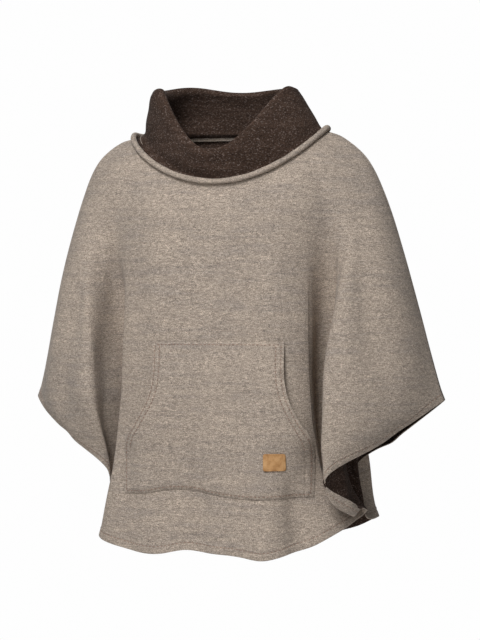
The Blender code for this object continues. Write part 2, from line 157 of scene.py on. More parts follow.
BACK_ROWS = (
    (0.08, 110, 126, 89, 158, 70, 166, 61, 173, 51, 182, 28),
    (0.18, 122, 144, 99, 177, 79, 189, 72, 200, 63, 217, 39),
    (0.32, 131, 158, 107, 184, 83, 199, 84, 213, 84, 245, 56),
    (0.48, 137, 169, 115, 175, 84, 194, 92, 207, 102, 262, 78),
    (0.65, 143, 179, 125, 163, 82, 183, 90, 196, 107, 273, 96),
    (0.82, 151, 203, 141, 160, 94, 182, 92, 194, 104, 281, 100),
    (0.93, 158, 210, 148, 170, 88, 190, 80, 193, 98, 277, 94),
    (1.00, 164, 216, 150, 218, 43.2, 203, 72, 189, 96, 264, 80),
)
SIDE_NAMES = ("share", "x", "y", "z")
SIDE_ROWS = (
    (0.08, 189, -4, -13),
    (0.18, 228, -6, -48),
    (0.32, 257, 2, -108),
    (0.48, 284, 14, -195),
    (0.65, 308, 25, -285),
    (0.82, 330, 32, -370),
    (0.93, 343, 35, -418),
    (1.00, 351, 36, -440),
)
# Each line that the sections carry from the neck to the free edge: its place along the panel, its
# angle on the neck, and how far it ends from the side's height towards the centre's
LINE_NAMES = ("line", "place", "angle", "front_end", "back_end")
LINE_ROWS = (
    ("centre", 0.00, 0.0, 1.00, 1.00),
    ("breast", 0.20, 22.0, 1.00, 1.00),
    ("edge", 0.36, 40.0, 0.887, 0.887),
    ("fold", 0.49, 55.0, 0.789, 0.798),
    ("turn", 0.57, 61.0, 0.664, 0.640),
    ("ridge", 0.66, 66.0, 0.528, 0.500),
    ("arm", 0.83, 78.0, 0.264, 0.265),
    ("side", 1.00, 90.0, 0.00, 0.00),
)
# Soft troughs that run down to the hem: the wearer's left is +X, depth is into the body
TROUGH_NAMES = ("face", "x", "slant", "width", "depth", "rise", "start")
TROUGH_ROWS = (
    ("front", -0.030, -0.02, 0.035, 0.010, 0.007, 0.62),
    ("front", 0.050, 0.03, 0.030, -0.006, -0.006, 0.66),
    ("front", 0.112, 0.03, 0.024, 0.009, 0.000, 0.70),
    ("front", -0.125, -0.03, 0.026, 0.006, 0.000, 0.66),
    ("back", -0.075, -0.03, 0.035, 0.016, 0.008, 0.45),
    ("back", 0.020, 0.01, 0.030, 0.013, 0.006, 0.52),
    ("back", 0.105, 0.04, 0.030, 0.014, 0.004, 0.48),
)
# The pocket's middle and half width at each height
POCKET_NAMES = ("z", "middle", "half_width")
POCKET_ROWS = (
    (-0.344, 0.006, 0.108),
    (-0.400, 0.006, 0.108),
    (-0.435, 0.005, 0.115),
    (-0.465, 0.003, 0.129),
    (-0.500, 0.000, 0.148),
    (-0.522, -0.002, 0.155),
    (-0.593, -0.003, 0.156),
)
SLOPE_STEP = 0.004

# The dressed cloth: mesh steps from the middle to each overarm seam, and rows from the neck to the edge
CLOTH_STEPS = (24, 16, 18, 14, 16, 14, 18)
NECK_ROWS = 16
NECK_SHARE = 0.05
CLOTH_ROWS = 76
HEM_ROWS = 26
HEM_SHARE = 0.955
EDGE_ROUND = 0.0013
EDGE_ROUND_DEPTH = 0.0009
SHARPEST_MITRE = 0.3
HEM_BAND = 0.0165
HEM_RAISE = 0.0007
HEM_STITCH = 0.0120
HEM_GROOVE = 0.0009
HEM_GROOVE_WIDTH = 0.0014
HEM_BAND_EDGE = 0.0012
SEAM_DIP = 0.0007
SEAM_FLAT_FROM = 0.93
NECK_FLAT_TO = 0.06
TIP_PLACE = 0.63
TIP_REACH = 0.10
TIP_SHARE = 0.88
TIP_GROWTH = 3.0
TIP_ROUNDS = 16
NECK_GROOVE = 0.0011
NECK_GROOVE_AT = 0.0150
NECK_GROOVE_WIDTH = 0.0030
SOFTNESS = ((2.1, 0.0016), (5.5, 0.0009), (17.0, 0.00035))

# Creases placed on the outer faces, between two places along the panel and from one end to the
# other in x and z: depth is outwards. Each fades out beyond its ends and beside its places.
CREASE_OVERRUN = 0.25
CREASE_FULL_FROM = 0.25
CREASE_FULL_TO = 0.8
CREASE_SIDE_FADE = 0.08
CREASE_NAMES = ("face", "low", "high", "x0", "z0", "x1", "z1", "width", "depth")
CREASE_ROWS = (
    ("front", -0.56, 0.56, -0.158, -0.140, -0.164, -0.600, 0.036, -0.0100),
    ("front", -0.70, -0.42, -0.186, -0.220, -0.190, -0.400, 0.016, -0.0080),
    ("front", 0.40, 0.62, 0.160, -0.200, 0.164, -0.520, 0.013, -0.0070),
    ("front", -0.56, 0.56, 0.172, -0.140, 0.170, -0.640, 0.040, -0.0190),
    ("front", -0.56, 0.56, -0.086, -0.150, -0.100, -0.330, 0.020, 0.0040),
    ("front", -0.56, 0.56, 0.100, -0.150, 0.092, -0.350, 0.020, 0.0035),
    ("front", -0.56, 0.56, -0.022, -0.140, -0.030, -0.300, 0.024, -0.0030),
    ("front", -0.56, 0.56, 0.058, -0.190, 0.052, -0.360, 0.022, -0.0028),
    ("front", -0.56, 0.56, -0.030, -0.440, -0.022, -0.700, 0.014, -0.0062),
    ("front", -0.56, 0.56, 0.020, -0.480, 0.034, -0.700, 0.019, 0.0035),
    ("front", -0.56, 0.56, 0.126, -0.560, 0.136, -0.720, 0.016, -0.0085),
    ("front", -0.56, 0.56, 0.076, -0.590, 0.084, -0.700, 0.018, 0.0026),
    ("front", -0.56, 0.56, -0.092, -0.520, -0.098, -0.690, 0.016, -0.0038),
    ("front", 0.5, 1.0, 0.222, -0.110, 0.250, -0.370, 0.016, -0.0050),
    ("front", 0.5, 1.0, 0.205, -0.230, 0.226, -0.480, 0.014, 0.0035),
    ("front", 0.5, 1.0, 0.270, -0.200, 0.312, -0.410, 0.014, 0.0030),
    ("front", 0.5, 1.0, 0.262, -0.330, 0.280, -0.480, 0.013, -0.0035),
    ("front", -1.0, -0.5, -0.222, -0.120, -0.246, -0.340, 0.016, -0.0055),
    ("front", -1.0, -0.5, -0.205, -0.250, -0.232, -0.470, 0.015, 0.0035),
    ("front", -1.0, -0.5, -0.262, -0.190, -0.305, -0.430, 0.014, 0.0030),
    ("front", -1.0, -0.5, -0.252, -0.370, -0.272, -0.500, 0.012, -0.0035),
    ("back", -0.56, 0.56, -0.100, -0.060, -0.135, -0.360, 0.022, -0.0112),
    ("back", -0.56, 0.56, 0.108, -0.060, 0.140, -0.330, 0.020, -0.0104),
    ("back", -0.56, 0.56, 0.000, -0.050, 0.012, -0.280, 0.026, 0.0056),
    ("back", -0.56, 0.56, -0.052, -0.120, -0.060, -0.480, 0.020, 0.0056),
    ("back", -0.56, 0.56, 0.060, -0.220, 0.074, -0.600, 0.017, -0.0072),
    ("back", -0.56, 0.56, -0.015, -0.420, -0.010, -0.690, 0.020, -0.0080),
    ("back", -0.56, 0.56, 0.140, -0.480, 0.160, -0.690, 0.016, 0.0051),
    ("back", 0.5, 1.0, 0.235, -0.120, 0.280, -0.420, 0.016, -0.0072),
    ("back", 0.5, 1.0, 0.215, -0.300, 0.250, -0.520, 0.014, 0.0051),
    ("back", -1.0, -0.5, -0.240, -0.110, -0.275, -0.390, 0.018, -0.0072),
    ("back", -1.0, -0.5, -0.215, -0.280, -0.262, -0.500, 0.013, 0.0048),
)

# The dressed collar: a soft folded rim, heavier on the wearer's right, and a seam at the centre back
COLLAR_ROUND = 300
COLLAR_ROWS = 30
COLLAR_FOLD_ROWS = 14
COLLAR_SEAM_DEPTH = 0.0018
COLLAR_SEAM_WIDTH = 0.0022
COLLAR_SOFTNESS = ((4.0, 0.0012), (11.0, 0.0007), (24.0, 0.0004))
COLLAR_START = 4 * SEAM_GAP
COLLAR_SOFT_HEIGHTS = (0.05, 0.35)
COLLAR_TURNING = 0.0026
COLLAR_TURNING_HEIGHT = 0.07
COLLAR_TURNING_REACH = 0.05
COLLAR_CREST = 0.0050
COLLAR_THICK_FROM = 0.30
COLLAR_THICK_POWER = 1.3
RIM_THICK = 0.0095
RIM_THICK_RIGHT = 0.0260
RIM_ROUND = 0.0050
RIM_ROUND_RIGHT = 0.0140
RIM_OUTER_SHARE = 0.68
RIM_RIGHT_ANGLE = -94.0
RIM_RIGHT_REACH = 36.0
# Where the rim stands higher or lower than it is drawn: angle, reach and height
RIM_LIFTS = (
    (-138.0, 30.0, 0.0065),
    (-56.0, 20.0, -0.0030),
    (180.0, 30.0, -0.0055),
    (92.0, 30.0, -0.0055),
    (0.0, 30.0, -0.0060),
)

# The neck roll
ROLL_ROUND = 360
ROLL_SIDES = 16
ROLL_RIPPLE = 0.00045
ROLL_RIPPLES = (60.0, 22.0)

# The binding's flat side, inside the neck
TAPE_WIDTH = 0.0085
TAPE_THICK = 0.0022
TAPE_DROP = 0.0010
TAPE_SIDES = 12

# The pocket's and the tab's own mesh, and what is stitched on them
LAID_REACH = 0.013
LAID_LEAN = 2.0
POCKET_MESH = (180, 144)
POCKET_CROWD = 0.55
POCKET_PRESS = 0.001716
POCKET_PRESS_REACH = 0.006
POCKET_PRESS_EDGE = 0.0005
POCKET_MOUTH_KEPT = 0.75
POCKET_MOUTH_DOWN = (0.74, 0.60)
POCKET_MOUTH_SIDE = (0.02, 0.008)
POCKET_SOFT = 0.7
POCKET_SOFT_REACH = 0.03
POCKET_DEEPEST = -0.0006
POCKET_GAP_REACH = 0.04
POCKET_THINNEST = 0.0009
POCKET_HEM = 0.0125
POCKET_INNER_ROW = 0.0045
POCKET_GROOVE = 0.0008
POCKET_GROOVE_WIDTH = 0.0013
TAB_MESH = 30
TAB_CORNER = 0.0035
TAB_RAISE = 0.0004
TAB_WORN = 0.0005
TAB_WORN_REACH = 0.0014
TAB_ROW = 0.0025
TAB_GROOVE = 0.00035
TAB_GROOVE_WIDTH = 0.0008

# How the pocket's foot runs up and down over the panel's troughs: the lift at each x
POCKET_FOOT_X = (-0.156, -0.125, -0.076, -0.044, -0.008, 0.032, 0.072, 0.125, 0.166)
POCKET_FOOT_LIFT = (0.0010, 0.0020, 0.0098, 0.0102, 0.0040, -0.0012, -0.0030, -0.0010, 0.0)
POCKET_FOOT_ENDS = (-0.155, 0.164)
POCKET_FOOT_FROM = 0.55

# Threads
STITCH = 0.0044
STITCH_PITCH = 0.0066
THREAD = 0.00054
STITCH_SUNK = 0.35
STITCH_LEAN = 0.10
STITCH_UNEVEN = 0.16

# Colours, as light comes off each stuff
BEIGE = (0.418, 0.348, 0.288)
BEIGE_TONES = ((0.850, 0.868, 0.900), (1.0, 1.0, 1.0), (1.125, 1.122, 1.112))
BEIGE_FLECK = (0.215, 0.165, 0.132)
BROWN = (0.0585, 0.0360, 0.0265)
BROWN_TONES = ((0.769, 0.762, 0.739), (1.0, 1.0, 1.0), (1.308, 1.333, 1.348))
BROWN_FLECK = (0.270, 0.212, 0.188)
TAN = (0.600, 0.325, 0.132)
TAN_TONES = ((0.725, 0.651, 0.576), (1.0, 1.0, 1.0), (1.174, 1.274, 1.441))
THREAD_COLOUR = (0.335, 0.215, 0.168)
THREAD_TONES = (0.72, 1.25)
FLOOR_COLOUR = (0.90, 0.90, 0.90)

# The photographer's place: how far round and up, how far off, and what the lens takes in
CAMERA_ROUND = 14.0
CAMERA_UP = 0.5
CAMERA_DISTANCE = 3.6
CAMERA_RIGHT = 0.014
CAMERA_DOWN = 0.3102
CAMERA_LENS = 122.7
FLOOR_HEIGHT = -1.15
FLOOR_RADIUS = 1.25
SKY_LIGHT = 0.16
LIGHT_NAMES = ("name", "x", "y", "z", "size", "watts")
LIGHT_ROWS = (
    ("front_softbox", -0.1, -2.6, 2.0, 1.0, 75.0),
    ("low_softbox", 0.1, -3.5, 0.5, 1.0, 21.0),
    ("left_softbox", 2.2, -2.0, 0.4, 1.2, 1.5),
    ("right_softbox", -2.4, -1.4, 0.4, 1.2, 2.5),
    ("back_softbox", -1.0, 2.7, 0.9, 1.4, 34.0),
)

# Flat sizes of what is cut: width, length and area
FRONT_FLAT = (1.08, 0.70, 0.52)
BACK_FLAT = (1.02, 0.70, 0.49)


def table(names, rows):
    return [dict(zip(names, row)) for row in rows]


FACES = {"front": table(FACE_NAMES, FRONT_ROWS), "back": table(FACE_NAMES, BACK_ROWS)}
SIDE = table(SIDE_NAMES, SIDE_ROWS)
LINES = table(LINE_NAMES, LINE_ROWS)
TROUGHS = table(TROUGH_NAMES, TROUGH_ROWS)
POCKET = table(POCKET_NAMES, POCKET_ROWS)


def smooth_step(low, high, value):
    """0 up to low and 1 from high, or the other way round where high is the lower."""
    share = min(max((value - low) / (high - low), 0.0), 1.0)
    return share * share * (3.0 - 2.0 * share)


def bell(offset):
    """1 in the middle, falling away smoothly on both sides."""
    return math.exp(-(offset**2))


def hill(value, up, down):
    """Rises from 0 to 1 over the first range and falls back to 0 over the second."""
    return smooth_step(*up, value) * smooth_step(*down, value)


def curve_at(knots, values, at):
    """The smooth curve through the values at the knots, each of them a number or a Vector."""
    last = len(knots) - 2
    i = max((k for k in range(last + 1) if knots[k] <= at), default=0)

    def slope(k):
        low = max(k - 1, 0)
        high = min(k + 1, last + 1)
        return (values[high] - values[low]) / (knots[high] - knots[low])

    span = knots[i + 1] - knots[i]
    t = (at - knots[i]) / span
    a = values[i] * (2 * t**3 - 3 * t**2 + 1)
    b = values[i + 1] * (3 * t**2 - 2 * t**3)
    c = slope(i) * (span * (t**3 - 2 * t**2 + t))
    d = slope(i + 1) * (span * (t**3 - t**2))
    return a + b + c + d


def turned_from(angle, middle):
    """How far the angle is turned from the middle one, between -180 and 180 degrees."""
    return (angle - middle + 180.0) % 360.0 - 180.0


def neck_point(angle):
    """The neck seam, at this angle in degrees from the front, towards the wearer's left."""
    turn = math.radians(angle)
    ahead = math.cos(turn)
    depth, drop = (NECK_FRONT, NECK_FRONT_DROP) if ahead > 0 else (NECK_BACK, NECK_BACK_DROP)
    dip = abs(ahead) ** NECK_DIP_POWER
    point = Vector((NECK_HALF_WIDTH * math.sin(turn), -depth * ahead, -drop * dip))
    return point + neck_slip(angle) if math.sin(turn) < 0 else point


def neck_slip(angle):
    """The wearer's right of the neck has slipped a little outwards and down."""
    share = math.sin(math.radians(angle)) ** 2
    return Vector((-NECK_RIGHT_OUT * share, 0.0, -NECK_RIGHT_DROP * share))


def line_points(line, face):
    """The points of one line down the wearer's left half, one at the neck and one on each section."""
    name = line["line"]
    angle = line["angle"] if face == "front" else 180.0 - line["angle"]
    points = [neck_point(angle)]
    neck_height = abs(math.cos(math.radians(angle))) ** NECK_DIP_POWER
    drop, hem = (NECK_FRONT_DROP, HEM_FRONT) if face == "front" else (NECK_BACK_DROP, HEM_BACK)
    for row, side in zip(FACES[face], SIDE):
        if name == "centre":
            x, y = 0.0, row["centre_y"]
        elif name == "breast":
            x = BREAST_SHARE * row["edge_x"]
            y = row["centre_y"] + BREAST_TURN * (row["edge_y"] - row["centre_y"])
        elif name == "side":
            x, y = side["x"], side["y"]
        else:
            x, y = row[name + "_x"], row[name + "_y"]
        height = neck_height + (line[face + "_end"] - neck_height) * row["share"] ** HEIGHT_POWER
        centre_z = -drop - (hem - drop) * row["share"]
        side_z = side["z"] / 1000
        z = side_z + (centre_z - side_z) * height
        points.append(Vector((x / 1000, y / 1000, z)))
    return points


SHARES = [0.0] + [side["share"] for side in SIDE]
LINE_LIST = [line["line"] for line in LINES]
LINE_PLACES = [line["place"] for line in LINES]
PLACE_BEYOND = 2.0 - LINE_PLACES[-2]
SECTION_KNOTS = (
    [-PLACE_BEYOND] + [-place for place in reversed(LINE_PLACES[1:])] + LINE_PLACES + [PLACE_BEYOND]
)
LINE_ANGLES = {line["line"]: line["angle"] for line in LINES}
LINE_POINTS = {(line["line"], face): line_points(line, face) for line in LINES for face in FACES}


def line_at(name, face, side, share):
    """A point of one line, on the wearer's left (side 1) or right (side -1)."""
    point = curve_at(SHARES, LINE_POINTS[name, face], share)
    if side < 0:
        point = Vector((-point.x, point.y, point.z))
        point += neck_slip(LINE_ANGLES[name]) * smooth_step(0.18, 0.0, share)
        if face == "front" and name in RIGHT_OUT:
            out = RIGHT_OUT[name]
            out += (RIGHT_HEM_OUT[name] - out) * smooth_step(*RIGHT_HEM_SHARES, share)
            point.x -= out * smooth_step(*EDGE_OUT_SHARES, share)
            point.y += RIGHT_HEM_BACK[name] * smooth_step(*RIGHT_HEM_SHARES, share)
            point.z += RIGHT_RISE * smooth_step(*RIGHT_RISE_SHARES, share)
    elif name == "edge" and face == "front":
        point.x -= LEFT_EDGE_IN * smooth_step(*EDGE_OUT_SHARES, share)
        point.y += LEFT_EDGE_BACK * smooth_step(*LEFT_EDGE_BACK_SHARES, share)
    return point


@functools.lru_cache(maxsize=None)
def section_points(face, share):
    """The lines' points across one whole panel, with one more beyond each overarm seam, and the
    curve's direction at each of them, which leans towards the shorter of the two spans beside it."""
    other = "back" if face == "front" else "front"
    points = [line_at(name, face, -1, share) for name in reversed(LINE_LIST[1:])]
    points += [line_at(name, face, 1, share) for name in LINE_LIST]
    sharp = TIP_SHARPNESS * smooth_step(*TIP_SHARP_SHARES, share)
    first = line_at(LINE_LIST[-2], other, -1, share).lerp(2 * points[0] - points[1], sharp)
    last = line_at(LINE_LIST[-2], other, 1, share).lerp(2 * points[-1] - points[-2], sharp)
    points = [first] + points + [last]
    ways = [Vector()]
    for before, here, after in zip(points, points[1:], points[2:]):
        low, high = (here - before).length, (after - here).length
        ways.append(((here - before) * (high / low) + (after - here) * (low / high)) / (low + high))
    return points, ways


def panel_point(face, place, share):
    """The cloth's outer face: place runs from -1 at the right overarm seam to 1 at the left one."""
    points, ways = section_points(face, share)
    i = max((k for k in range(1, len(SECTION_KNOTS) - 2) if SECTION_KNOTS[k] <= place), default=1)
    t = (place - SECTION_KNOTS[i]) / (SECTION_KNOTS[i + 1] - SECTION_KNOTS[i])
    span = (points[i + 1] - points[i]).length
    point = points[i] * (2 * t**3 - 3 * t**2 + 1) + points[i + 1] * (3 * t**2 - 2 * t**3)
    point += ways[i] * (span * (t**3 - 2 * t**2 + t)) + ways[i + 1] * (span * (t**3 - t**2))
    if face == "front" and place > 0:
        down = lip(place) * hill(share, *LIP_DROP_SHARES)
        back = lip(place) * hill(share, *LIP_BACK_SHARES)
        point += Vector((-LIP_INWARD * back, LIP_BACK * back, -LIP_DROP * down))
    tilt = max(-1.0, min(1.0, point.x / HEM_CORNER))
    near_hem = smooth_step(*HEM_TILT_SHARES, share) * smooth_step(*HEM_TILT_PLACES, abs(place))
    point.z += HEM_TILT * tilt**3 * near_hem
    inward = 1.0 if face == "front" else -1.0
    for trough in TROUGHS:
        if trough["face"] == face:
            offset = (point.x - trough["x"] - trough["slant"] * share) / trough["width"]
            grown = smooth_step(trough["start"], 1.0, share) * bell(offset)
            point.y += inward * trough["depth"] * grown
            point.z += trough["rise"] * grown
    return point


def lip(place):
    """How much of the lip beside the arm opening lies at this place between the fold and the ridge."""
    return hill(place, *LIP_PLACES)


def panel_normal(face, place, share):
    low, high = max(share - SLOPE_STEP, 0.0), min(share + SLOPE_STEP, 1.0)
    down = panel_point(face, place, high) - panel_point(face, place, low)
    along = panel_point(face, place + SLOPE_STEP, share) - panel_point(face, place - SLOPE_STEP, share)
    normal = along.cross(down) if face == "back" else down.cross(along)
    return normal.normalized()


def steps_between(marks, counts):
    places = [marks[0]]
    for low, high, count in zip(marks, marks[1:], counts):
        places += [low + (high - low) * (i + 1) / count for i in range(count)]
    return places


def rim_point(angle):
    turn = math.radians(angle)
    ahead = math.cos(turn)
    turned = turned_from(angle, 0.0)
    if turned > 0:
        rise = smooth_step(0.0, RIM_SLUMP_LEFT, turned)
    else:
        rise = smooth_step(0.0, RIM_SLUMP_RIGHT, RIM_LOWEST_ANGLE - turned)
    top = RIM_SIDE_HEIGHT + (RIM_BACK_HEIGHT - RIM_SIDE_HEIGHT) * (1.0 - ahead) / 2
    z = RIM_FRONT_HEIGHT + (top - RIM_FRONT_HEIGHT) * rise
    return Vector((RIM_HALF_WIDTH * math.sin(turn), RIM_MIDDLE - RIM_DEPTH * ahead, z))


def ring_outward(angle):
    turn = math.radians(angle)
    return Vector((math.sin(turn) / NECK_HALF_WIDTH, -math.cos(turn) / NECK_FRONT, 0.0)).normalized()


def collar_point(angle, height):
    """The collar's outer face, from the neck seam (height 0) to the rim (height 1)."""
    low = neck_point(angle)
    high = rim_point(angle)
    point = low.lerp(high, height)
    righter = 1.0 - COLLAR_TUCK_SIDES * math.sin(math.radians(angle))
    low_share = height / COLLAR_TUCK_HEIGHT
    tuck = COLLAR_TUCK * righter * low_share * math.exp(1.0 - low_share)
    swell = COLLAR_SWELL * righter * bell((height - COLLAR_SWELL_HEIGHT) / COLLAR_SWELL_REACH)
    return point + ring_outward(angle) * (swell - tuck)


def collar_normal(angle, height):
    turn, rise = 1.0, 0.02
    along = collar_point(angle + turn, height) - collar_point(angle - turn, height)
    up = collar_point(angle, min(height + rise, 1.0)) - collar_point(angle, max(height - rise, 0.0))
    above_seam = smooth_step(0.0, COLLAR_LEVEL_HEIGHT, height)
    return ring_outward(angle).lerp(along.cross(up).normalized(), above_seam).normalized()


def neck_panel_normal(angle):
    """The panels' outward direction at the neck seam."""
    face = "front" if math.cos(math.radians(angle)) >= 0 else "back"
    side = 1.0 if math.sin(math.radians(angle)) >= 0 else -1.0
    turned = abs(turned_from(angle, 0.0))
    off_centre = turned if face == "front" else 180.0 - turned
    angles = [line["angle"] for line in LINES]
    place = curve_at(angles, LINE_PLACES, min(off_centre, 90.0))
    return panel_normal(face, side * min(place, 1.0), SLOPE_STEP)


def pocket_size(name, z):
    return curve_at([-row["z"] for row in POCKET], [row[name] for row in POCKET], -z)


def pocket_lift(across, down):
    """How far the pocket stands off the panel: not at its top, foot and lower sides, most at its mouths."""
    sewn = max(math.sin(math.pi * down), 0.0) ** POCKET_ROUNDING
    foot = 1.0 - smooth_step(*POCKET_FOOT_CLOSES, down)
    side = abs(across)
    closed_side = 1.0 - smooth_step(*POCKET_SIDE_CLOSES, side)
    open_side = 1.0 + POCKET_GAPE * smooth_step(*POCKET_SIDE_OPENS, side)
    share = open_side * foot + closed_side * (1.0 - foot)
    return POCKET_BULGE * sewn * share


CREASES = table(CREASE_NAMES, CREASE_ROWS)
STUDIO_LIGHTS = table(LIGHT_NAMES, LIGHT_ROWS)


class Nodes:
    """Places shader nodes one after another and joins them."""

    def __init__(self, material):
        material.use_nodes = True
        self.tree = material.node_tree
        self.shader = self.tree.nodes["Principled BSDF"]
        self.count = 0
        self.place = self.add("ShaderNodeTexCoord").outputs["Object"]

    def add(self, kind, **settings):
        node = self.tree.nodes.new(kind)
        self.count += 1
        node.location = (-220 * (self.count % 7) - 250, 260 - 170 * (self.count // 7))
        for name, value in settings.items():
            setattr(node, name, value)
        return node

    def join(self, source, socket):
        """Links a source to the socket, or gives the socket a plain value."""
        if hasattr(source, "is_linked"):
            self.tree.links.new(source, socket)
        else:
            socket.default_value = source

    def give(self, sockets):
        """Joins or sets the shader's own sockets, by their names."""
        for name, source in sockets.items():
            self.join(source, self.shader.inputs[name])

    def stretched(self, scale, turn=(0.0, 0.0, 0.0)):
        mapping = self.add("ShaderNodeMapping")
        for name, source in (("Vector", self.place), ("Scale", scale), ("Rotation", turn)):
            self.join(source, mapping.inputs[name])
        return mapping.outputs["Vector"]

    def noise(self, scale, detail=2.0, roughness=0.5, vector=None):
        node = self.add("ShaderNodeTexNoise")
        sources = {"Vector": vector or self.place, "Scale": scale, "Detail": detail, "Roughness": roughness}
        for name, source in sources.items():
            self.join(source, node.inputs[name])
        return node.outputs["Fac"]

    def ramp(self, source, *stops):
        node = self.add("ShaderNodeValToRGB")
        self.join(source, node.inputs["Fac"])
        while len(node.color_ramp.elements) < len(stops):
            node.color_ramp.elements.new(0.5)
        for element, (position, colour) in zip(node.color_ramp.elements, stops):
            element.position = position
            element.color = (*colour, 1.0)
        return node.outputs["Color"]

    def mix(self, way, factor, first, second):
        node = self.add("ShaderNodeMix", data_type="RGBA", blend_type=way)
        for source, place in ((factor, 0), (first, 6), (second, 7)):
            self.join(source, node.inputs[place])
        return node.outputs[2]

    def maths(self, way, first, second):
        node = self.add("ShaderNodeMath", operation=way)
        self.join(first, node.inputs[0])
        self.join(second, node.inputs[1])
        return node.outputs[0]

    def blend(self, first, share, second, other):
        """So much of the first and so much of the second, added up."""
        return self.maths("ADD", self.maths("MULTIPLY", first, share), self.maths("MULTIPLY", second, other))

    def bump(self, height, strength, distance):
        node = self.add("ShaderNodeBump")
        for name, source in (("Strength", strength), ("Distance", distance), ("Height", height)):
            self.join(source, node.inputs[name])
        self.give({"Normal": node.outputs["Normal"]})


def grey(value):
    return (value, value, value)


def toned(colour, tones):
    """One stuff's colour in each of these tones, darkest first."""
    return [tuple(part * by for part, by in zip(colour, tone)) for tone in tones]


@functools.lru_cache(maxsize=None)
def felt(slot):
    """Boiled wool: broad cool and warm patches, drawn-out streaks, a fine speckle of fibres and a nap."""
    if slot == "beige_felt":
        tones, fleck, sheen = toned(chosen().beige, BEIGE_TONES), BEIGE_FLECK, 0.10
        spread, fleck_size = 0.54, (420.0, 420.0, 760.0)
    else:
        tones, fleck, sheen = toned(chosen().brown, BROWN_TONES), BROWN_FLECK, 0.02
        spread, fleck_size = 0.56, (330.0, 330.0, 520.0)
    material = bpy.data.materials.new(slot)
    nodes = Nodes(material)
    patches = nodes.noise(11.0, 4.0, 0.6)
    streaks = nodes.noise(1.0, 5.0, 0.68, nodes.stretched((13.0, 13.0, 135.0), (0.0, 0.08, 0.0)))
    cloud = nodes.blend(patches, 0.34, streaks, 0.66)
    colour = nodes.ramp(cloud, (0.38, tones[0]), (0.50, tones[1]), (0.62, tones[2]))
    speckle = nodes.noise(860.0, 2.0, 0.7)
    fibres = nodes.noise(1.0, 3.0, 0.68, nodes.stretched((150.0, 150.0, 640.0), (0.0, -0.06, 0.0)))
    for grain, low, high, part in ((speckle, 0.30, 0.70, 1.25), (fibres, 0.34, 0.66, 0.6)):
        light = nodes.ramp(grain, (low, grey(1.0 - spread * part)), (high, grey(1.0 + spread * part)))
        colour = nodes.mix("MULTIPLY", 1.0, colour, light)
    flecks = nodes.noise(1.0, 2.0, 0.6, nodes.stretched(fleck_size, (0.3, 0.8, 0.2)))
    shown = nodes.ramp(flecks, (0.56, grey(0.0)), (0.70, grey(0.75)))
    nodes.give({
        "Base Color": nodes.mix("MIX", shown, colour, (*fleck, 1.0)),
        "Roughness": nodes.ramp(speckle, (0.3, grey(0.90)), (0.7, grey(0.98))),
        "Specular IOR Level": 0.08,
        "Sheen Weight": sheen,
        "Sheen Roughness": 0.6,
    })
    pile, felted = nodes.noise(300.0, 4.0, 0.75), nodes.noise(70.0, 2.0, 0.5)
    nodes.bump(nodes.blend(pile, 0.55, felted, 0.5), chosen().nap, 0.0016)
    material.diffuse_color = (*tones[1], 1.0)
    return material


@functools.lru_cache(maxsize=None)
def leather(slot):
    """Tan leather with a fine grain, its colour deeper in the pores and lighter where it is rubbed."""
    material = bpy.data.materials.new(slot)
    nodes = Nodes(material)
    tones = toned(chosen().tan, TAN_TONES)
    wear = nodes.noise(95.0, 4.0, 0.6)
    colour = nodes.ramp(wear, (0.34, tones[0]), (0.50, tones[1]), (0.68, tones[2]))
    cells = nodes.add("ShaderNodeTexVoronoi", feature="DISTANCE_TO_EDGE")
    nodes.join(nodes.place, cells.inputs["Vector"])
    nodes.join(1100.0, cells.inputs["Scale"])
    grain = cells.outputs["Distance"]
    pores = nodes.ramp(grain, (0.0, grey(0.72)), (0.16, grey(1.0)))
    nodes.give({
        "Base Color": nodes.mix("MULTIPLY", 0.7, colour, pores),
        "Roughness": nodes.ramp(wear, (0.3, grey(0.50)), (0.7, grey(0.64))),
        "Specular IOR Level": 0.35,
    })
    nodes.bump(nodes.ramp(grain, (0.0, grey(0.0)), (0.25, grey(1.0))), 0.35, 0.0003)
    material.diffuse_color = (*tones[1], 1.0)
    return material


@functools.lru_cache(maxsize=None)
def thread(name):
    """Wool sewing thread, warmer and darker than the felt, a little uneven along its twist."""
    material = bpy.data.materials.new(name)
    nodes = Nodes(material)
    twist = nodes.noise(900.0, 2.0, 0.6)
    dark, pale = toned(chosen().thread, [grey(by) for by in THREAD_TONES])
    nodes.give({
        "Base Color": nodes.ramp(twist, (0.35, dark), (0.65, pale)),
        "Roughness": nodes.ramp(twist, (0.3, grey(0.7)), (0.7, grey(0.85))),
        "Specular IOR Level": 0.2,
    })
    nodes.bump(twist, 0.3, 0.0003)
    material.diffuse_color = (*chosen().thread, 1.0)
    return material


def floor_stuff(name):
    """Pale painted board, hardly uneven in tone."""
    material = bpy.data.materials.new(name)
    nodes = Nodes(material)
    tones = toned(FLOOR_COLOUR, (grey(1.0), grey(1.03)))
    tone = nodes.ramp(nodes.noise(3.0, 3.0, 0.5), (0.3, tones[0]), (0.7, tones[1]))
    nodes.give({"Base Color": tone, "Roughness": 0.9})
    return material


def settle(piece, node=None):
    """Every piece rides on the one body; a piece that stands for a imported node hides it."""
    if piece is None or not piece.data.polygons:
        raise RuntimeError("a piece came out empty")
    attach(piece, "root")
    if node:
        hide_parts(node)
    return piece


def felt_wave(point, waves, seed):
    """The soft unevenness of thick felt, a few millimetres: each wave has its fineness and height."""
    shift = Vector((seed * 3.7, seed * 1.3, seed * 5.1))
    return sum(height * noise.noise(point * fine + shift) for fine, height in waves)


